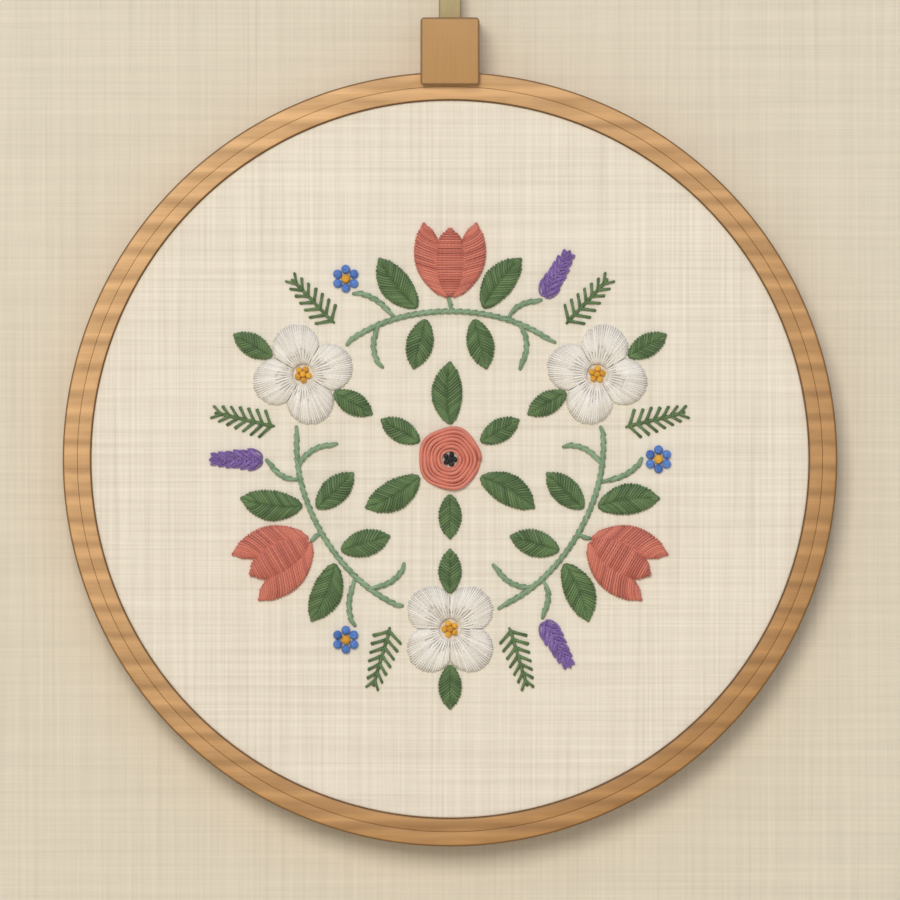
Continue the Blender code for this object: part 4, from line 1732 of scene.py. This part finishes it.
@dataclass(frozen=True)
class DaisyStitch:
    """A spike of small chain loops, each held by a short stitch."""

    length: float = 0.0130
    tiers: int = 6
    loop_length: float = 0.0034
    loop_half: float = 0.00078
    radius: float = 0.00021
    loop_parts: int = 12
    shrink: float = 0.42
    filling_share: float = 0.62
    tier_turns: tuple[float, ...] = (-37, 37)
    tip_turns: tuple[float, ...] = (-30, 30, 0)

    def build(self, bundle: StitchBundle) -> None:
        """Stitch tiers of two loops, smaller towards the tip, and three at the tip.

        Args:
            bundle: Where the stitches go.
        """
        for tier in range(self.tiers):
            share = tier / self.tiers
            size = 1 - self.shrink * share
            foot = Vector((0, self.length * 0.80 * share, 0))
            turns = self.tip_turns if tier == self.tiers - 1 else self.tier_turns
            for turn in turns:
                self.loop(bundle, foot, turn + bundle.hand.uniform(-4, 4), size)

    def loop(self, bundle: StitchBundle, foot: Vector, turn: float, size: float) -> None:
        """Lay one loop, the plump stitch inside it and the short one that holds it.

        Args:
            bundle: Where the stitches go.
            foot: The place on the spike's middle line that it grows from.
            turn: Its lean in degrees clockwise.
            size: Its size as a share of the largest.
        """
        place = Matrix.Translation(foot) @ Matrix.Rotation(math.radians(-turn), 4, "Z")
        rise = 0.00035 + 0.00025 * (1 - abs(turn) / 50)
        length = self.loop_length * size
        half = self.loop_half * size
        points = []
        for part in range(self.loop_parts + 1):
            angle = math.tau * part / self.loop_parts
            along = length * (0.5 - 0.5 * math.cos(angle))
            across = half * math.sin(angle) * (0.75 + 0.25 * math.cos(angle))
            points.append(place @ Vector((across * 1.5, along, rise)))
        bundle.lay(points, self.radius)
        filling = [place @ Vector((0, length * share, rise)) for share in (0.20, 0.50, 0.82)]
        bundle.stitch(filling, half * self.filling_share)
        tie = [place @ Vector((0, length * share, rise * 1.3)) for share in (0.88, 1.05)]
        bundle.stitch(tie, self.radius)


class Motif(Enum):
    """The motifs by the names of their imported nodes."""

    TULIP = "tulip"
    OPEN_FLOWER = "open_flower"
    FLOWER_KNOTS = "flower_knots"
    BROAD_LEAF = "broad_leaf"
    INNER_LEAF = "inner_leaf"
    SHORT_LEAF = "short_leaf"
    FERN = "fern"
    BERRIES = "berries"
    HEATHER = "heather"
    ROSE = "woven_rose"
    ROSE_KNOTS = "rose_knots"
    VINE = "vine"


@dataclass(frozen=True)
class Spot:
    """Where a motif lies in its sector: swing from the sector's middle, radius and lean."""

    motif: Motif
    swing: float
    radius: float
    lean: float


@dataclass(frozen=True)
class Stem:
    """A stem beside a sector's vine: swing and radius of its foot and tip, and its bow."""

    foot_swing: float
    foot_r: float
    tip_swing: float
    tip_r: float
    bow: float

    def follow(self, bundle: StitchBundle, rope: StemStitch) -> None:
        """Stitch along the stem's bowed line.

        Args:
            bundle: Where the stitches go.
            rope: The stem stitch.
        """
        foot = polar(self.foot_swing, self.foot_r)
        tip = polar(self.tip_swing, self.tip_r)
        side = (tip - foot).cross(Vector((0, 0, 1))).normalized() * self.bow * 4
        rope.follow(bundle, lambda share: foot.lerp(tip, share) + side * share * (1 - share),
                    (tip - foot).length)


@dataclass(frozen=True)
class Petal:
    """One tulip petal: its foot, its lean in degrees, its shape and the slant of its stitches."""

    side: float
    up: float
    lean: float
    shape: LeafShape
    slant: float

    def sew(self, bundle: StitchBundle) -> None:
        """Cover the petal with satin stitches.

        Args:
            bundle: Where they go.
        """
        place = (Matrix.Translation((self.side, self.up, 0))
                 @ Matrix.Rotation(math.radians(self.lean), 4, "Z"))
        SatinStitch(Fill.SLANT, slant=self.slant, parts=5).cover(bundle, self.shape, place)


@dataclass
class Embroidery:
    """The wreath: three equal sectors round a woven rose."""

    workshop: Workshop
    sectors: int = 3
    vine_r: float = 0.0324
    vine_wave: float = 0.0010
    vine_swing: float = 42.0
    counts: dict[Motif, int] = field(default_factory=dict)
    spots: tuple[Spot, ...] = (
        Spot(Motif.TULIP, 0, 0.0345, 0),
        Spot(Motif.OPEN_FLOWER, 60, 0.0360, 0),
        Spot(Motif.FLOWER_KNOTS, 60, 0.0360, 0),
        Spot(Motif.BROAD_LEAF, -12.5, 0.0331, -25),
        Spot(Motif.BROAD_LEAF, 12.5, 0.0331, 25),
        Spot(Motif.INNER_LEAF, -10, 0.0299, 204),
        Spot(Motif.INNER_LEAF, 10, 0.0299, 156),
        Spot(Motif.SHORT_LEAF, 60, 0.0438, 0),
        Spot(Motif.SHORT_LEAF, 60, 0.0282, 180),
        Spot(Motif.FERN, 40.5, 0.0380, 3),
        Spot(Motif.FERN, -40.5, 0.0380, -3),
        Spot(Motif.BERRIES, 30, 0.0442, 0),
        Spot(Motif.HEATHER, -30, 0.0400, 0),
        Spot(Motif.VINE, 0, 0, 0),
    )
    centre_spots: tuple[Spot, ...] = (
        Spot(Motif.BROAD_LEAF, 0, 0.0077, 0),
        Spot(Motif.BROAD_LEAF, 120, 0.0077, 0),
        Spot(Motif.BROAD_LEAF, 240, 0.0077, 0),
        Spot(Motif.SHORT_LEAF, 60, 0.0077, 0),
        Spot(Motif.SHORT_LEAF, 180, 0.0077, 0),
        Spot(Motif.SHORT_LEAF, 300, 0.0077, 0),
        Spot(Motif.ROSE, 0, 0, 0),
        Spot(Motif.ROSE_KNOTS, 0, 0, 0),
    )
    stems: tuple[Stem, ...] = (
        Stem(0, 0.0314, 0, 0.0341, 0),
        Stem(22, 0.0324, 30, 0.0409, 0.0012),
        Stem(-22, 0.0324, -30, 0.0386, -0.0012),
        Stem(27, 0.0324, 37, 0.0242, 0.0016),
        Stem(-27, 0.0324, -37, 0.0242, -0.0016),
    )
    leaves: dict[Motif, LeafShape] = field(default_factory=lambda: {
        Motif.BROAD_LEAF: LeafShape(0.0128, 0.0031, 0.0010, 0.0014),
        Motif.INNER_LEAF: LeafShape(0.0104, 0.0027, 0.0010),
        Motif.SHORT_LEAF: LeafShape(0.0090, 0.0023, 0.0009),
    })
    heaps: dict[Motif, KnotStitch] = field(default_factory=lambda: {
        Motif.FLOWER_KNOTS: KnotStitch(5, 0.0007, 0.0015),
        Motif.BERRIES: KnotStitch(6, 0.0010, 0.0015),
        Motif.ROSE_KNOTS: KnotStitch(5, 0.0006, 0.0016),
    })
    petals: tuple[Petal, ...] = (
        Petal(-0.0008, 0, 17, LeafShape(0.0162, 0.0031, 0.0010, 0.0020), -0.26),
        Petal(0.0008, 0, -17, LeafShape(0.0162, 0.0031, 0.0010, -0.0020), 0.26),
        Petal(0, 0.0001, 0, LeafShape(0.0145, 0.0035, 0.0016), 0.0),
    )
    colours: dict[Motif, str] = field(default_factory=lambda: {
        Motif.TULIP: "coral_thread", Motif.OPEN_FLOWER: "white_thread",
        Motif.FLOWER_KNOTS: "yellow_thread", Motif.BROAD_LEAF: "leaf_thread",
        Motif.INNER_LEAF: "leaf_thread", Motif.SHORT_LEAF: "leaf_thread",
        Motif.FERN: "leaf_thread", Motif.BERRIES: "blue_thread",
        Motif.HEATHER: "purple_thread", Motif.ROSE: "coral_thread",
        Motif.ROSE_KNOTS: "black_thread", Motif.VINE: "sage_thread",
    })

    def build(self) -> None:
        """Stitch every sector and then the middle."""
        for sector in range(self.sectors):
            for spot in self.spots:
                self.work(spot, sector * 360 / self.sectors)
        for spot in self.centre_spots:
            self.work(spot, 0.0)

    def work(self, spot: Spot, sector_turn: float) -> None:
        """Stitch one motif where it lies and deliver it.

        Args:
            spot: The motif and its place in the sector.
            sector_turn: The sector's own turn in degrees.
        """
        self.counts[spot.motif] = self.counts.get(spot.motif, 0) + 1
        alone = spot.motif in (Motif.ROSE, Motif.ROSE_KNOTS)
        node = spot.motif.value if alone else f"{spot.motif.value}_{self.counts[spot.motif]}"
        bundle = StitchBundle(node + "_threads")
        middle = StitchBundle(node + "_middle")
        self.stitch(spot.motif, bundle, middle)
        turn = sector_turn + spot.swing
        place = (Matrix.Translation(polar(turn, spot.radius, LINEN_FACE))
                 @ Matrix.Rotation(math.radians(turn + spot.lean), 4, "Z"))
        colour = self.colours[spot.motif]
        self.deliver(bundle, place, colour, [node])
        if middle.lines:
            inner = "yellow_thread" if spot.motif is Motif.BERRIES else colour
            self.deliver(middle, place, inner, [])

    def deliver(self, bundle: StitchBundle, place: Matrix, colour: str,
                nodes: Sequence[str]) -> None:
        """Place a motif's mesh on the linen and dress it.

        Args:
            bundle: The motif's stitches.
            place: Where the motif lies.
            colour: The thread's slot name.
            nodes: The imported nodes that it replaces.
        """
        mesh = bundle.mesh()
        mesh.transform(place)
        self.workshop.deliver(bundle.name, mesh, colour, self.workshop.palette.threads[colour],
                              nodes)

    def stitch(self, motif: Motif, bundle: StitchBundle, middle: StitchBundle) -> None:
        """Fill a motif's bundle with the stitches of its kind.

        Args:
            motif: The kind of motif.
            bundle: Where the stitches go.
            middle: Where the middle knot of a heap goes.
        """
        if motif in self.leaves:
            SatinStitch(Fill.FISHBONE).cover(bundle, self.leaves[motif], Matrix())
        elif motif in self.heaps:
            self.heaps[motif].build(bundle, middle)
        elif motif is Motif.TULIP:
            for petal in self.petals:
                petal.sew(bundle)
        elif motif is Motif.OPEN_FLOWER:
            FlowerStitch().build(bundle)
        elif motif is Motif.ROSE:
            WheelStitch().build(bundle)
        elif motif is Motif.FERN:
            FernStitch().build(bundle)
        elif motif is Motif.HEATHER:
            DaisyStitch().build(bundle)
        else:
            self.work_vine(bundle)

    def work_vine(self, bundle: StitchBundle) -> None:
        """Stitch a sector's vine and its stems in stem stitch.

        Args:
            bundle: Where the stitches go.
        """
        rope = StemStitch()
        rope.follow(bundle, self.vine_at, math.radians(2 * self.vine_swing) * self.vine_r)
        for stem in self.stems:
            stem.follow(bundle, rope)

    def vine_at(self, share: float) -> Vector:
        """Find a place on the vine.

        Args:
            share: The share of its length.

        Returns:
            The place on the linen.
        """
        swing = -self.vine_swing + 2 * self.vine_swing * share
        return polar(swing, self.vine_r - self.vine_wave * math.cos(math.radians(3 * swing)))


def main() -> None:
    """Build every sub-assembly in order."""
    logging.basicConfig(level=logging.INFO, format="%(name)s: %(message)s")
    workshop = Workshop(make_palette())
    Studio().build()
    Hoop(workshop).build()
    Linen(workshop).build()
    HangingBlock(workshop).build()
    HangingTape(workshop).build()
    Embroidery(workshop).build()


if __name__ == "__main__":
    main()
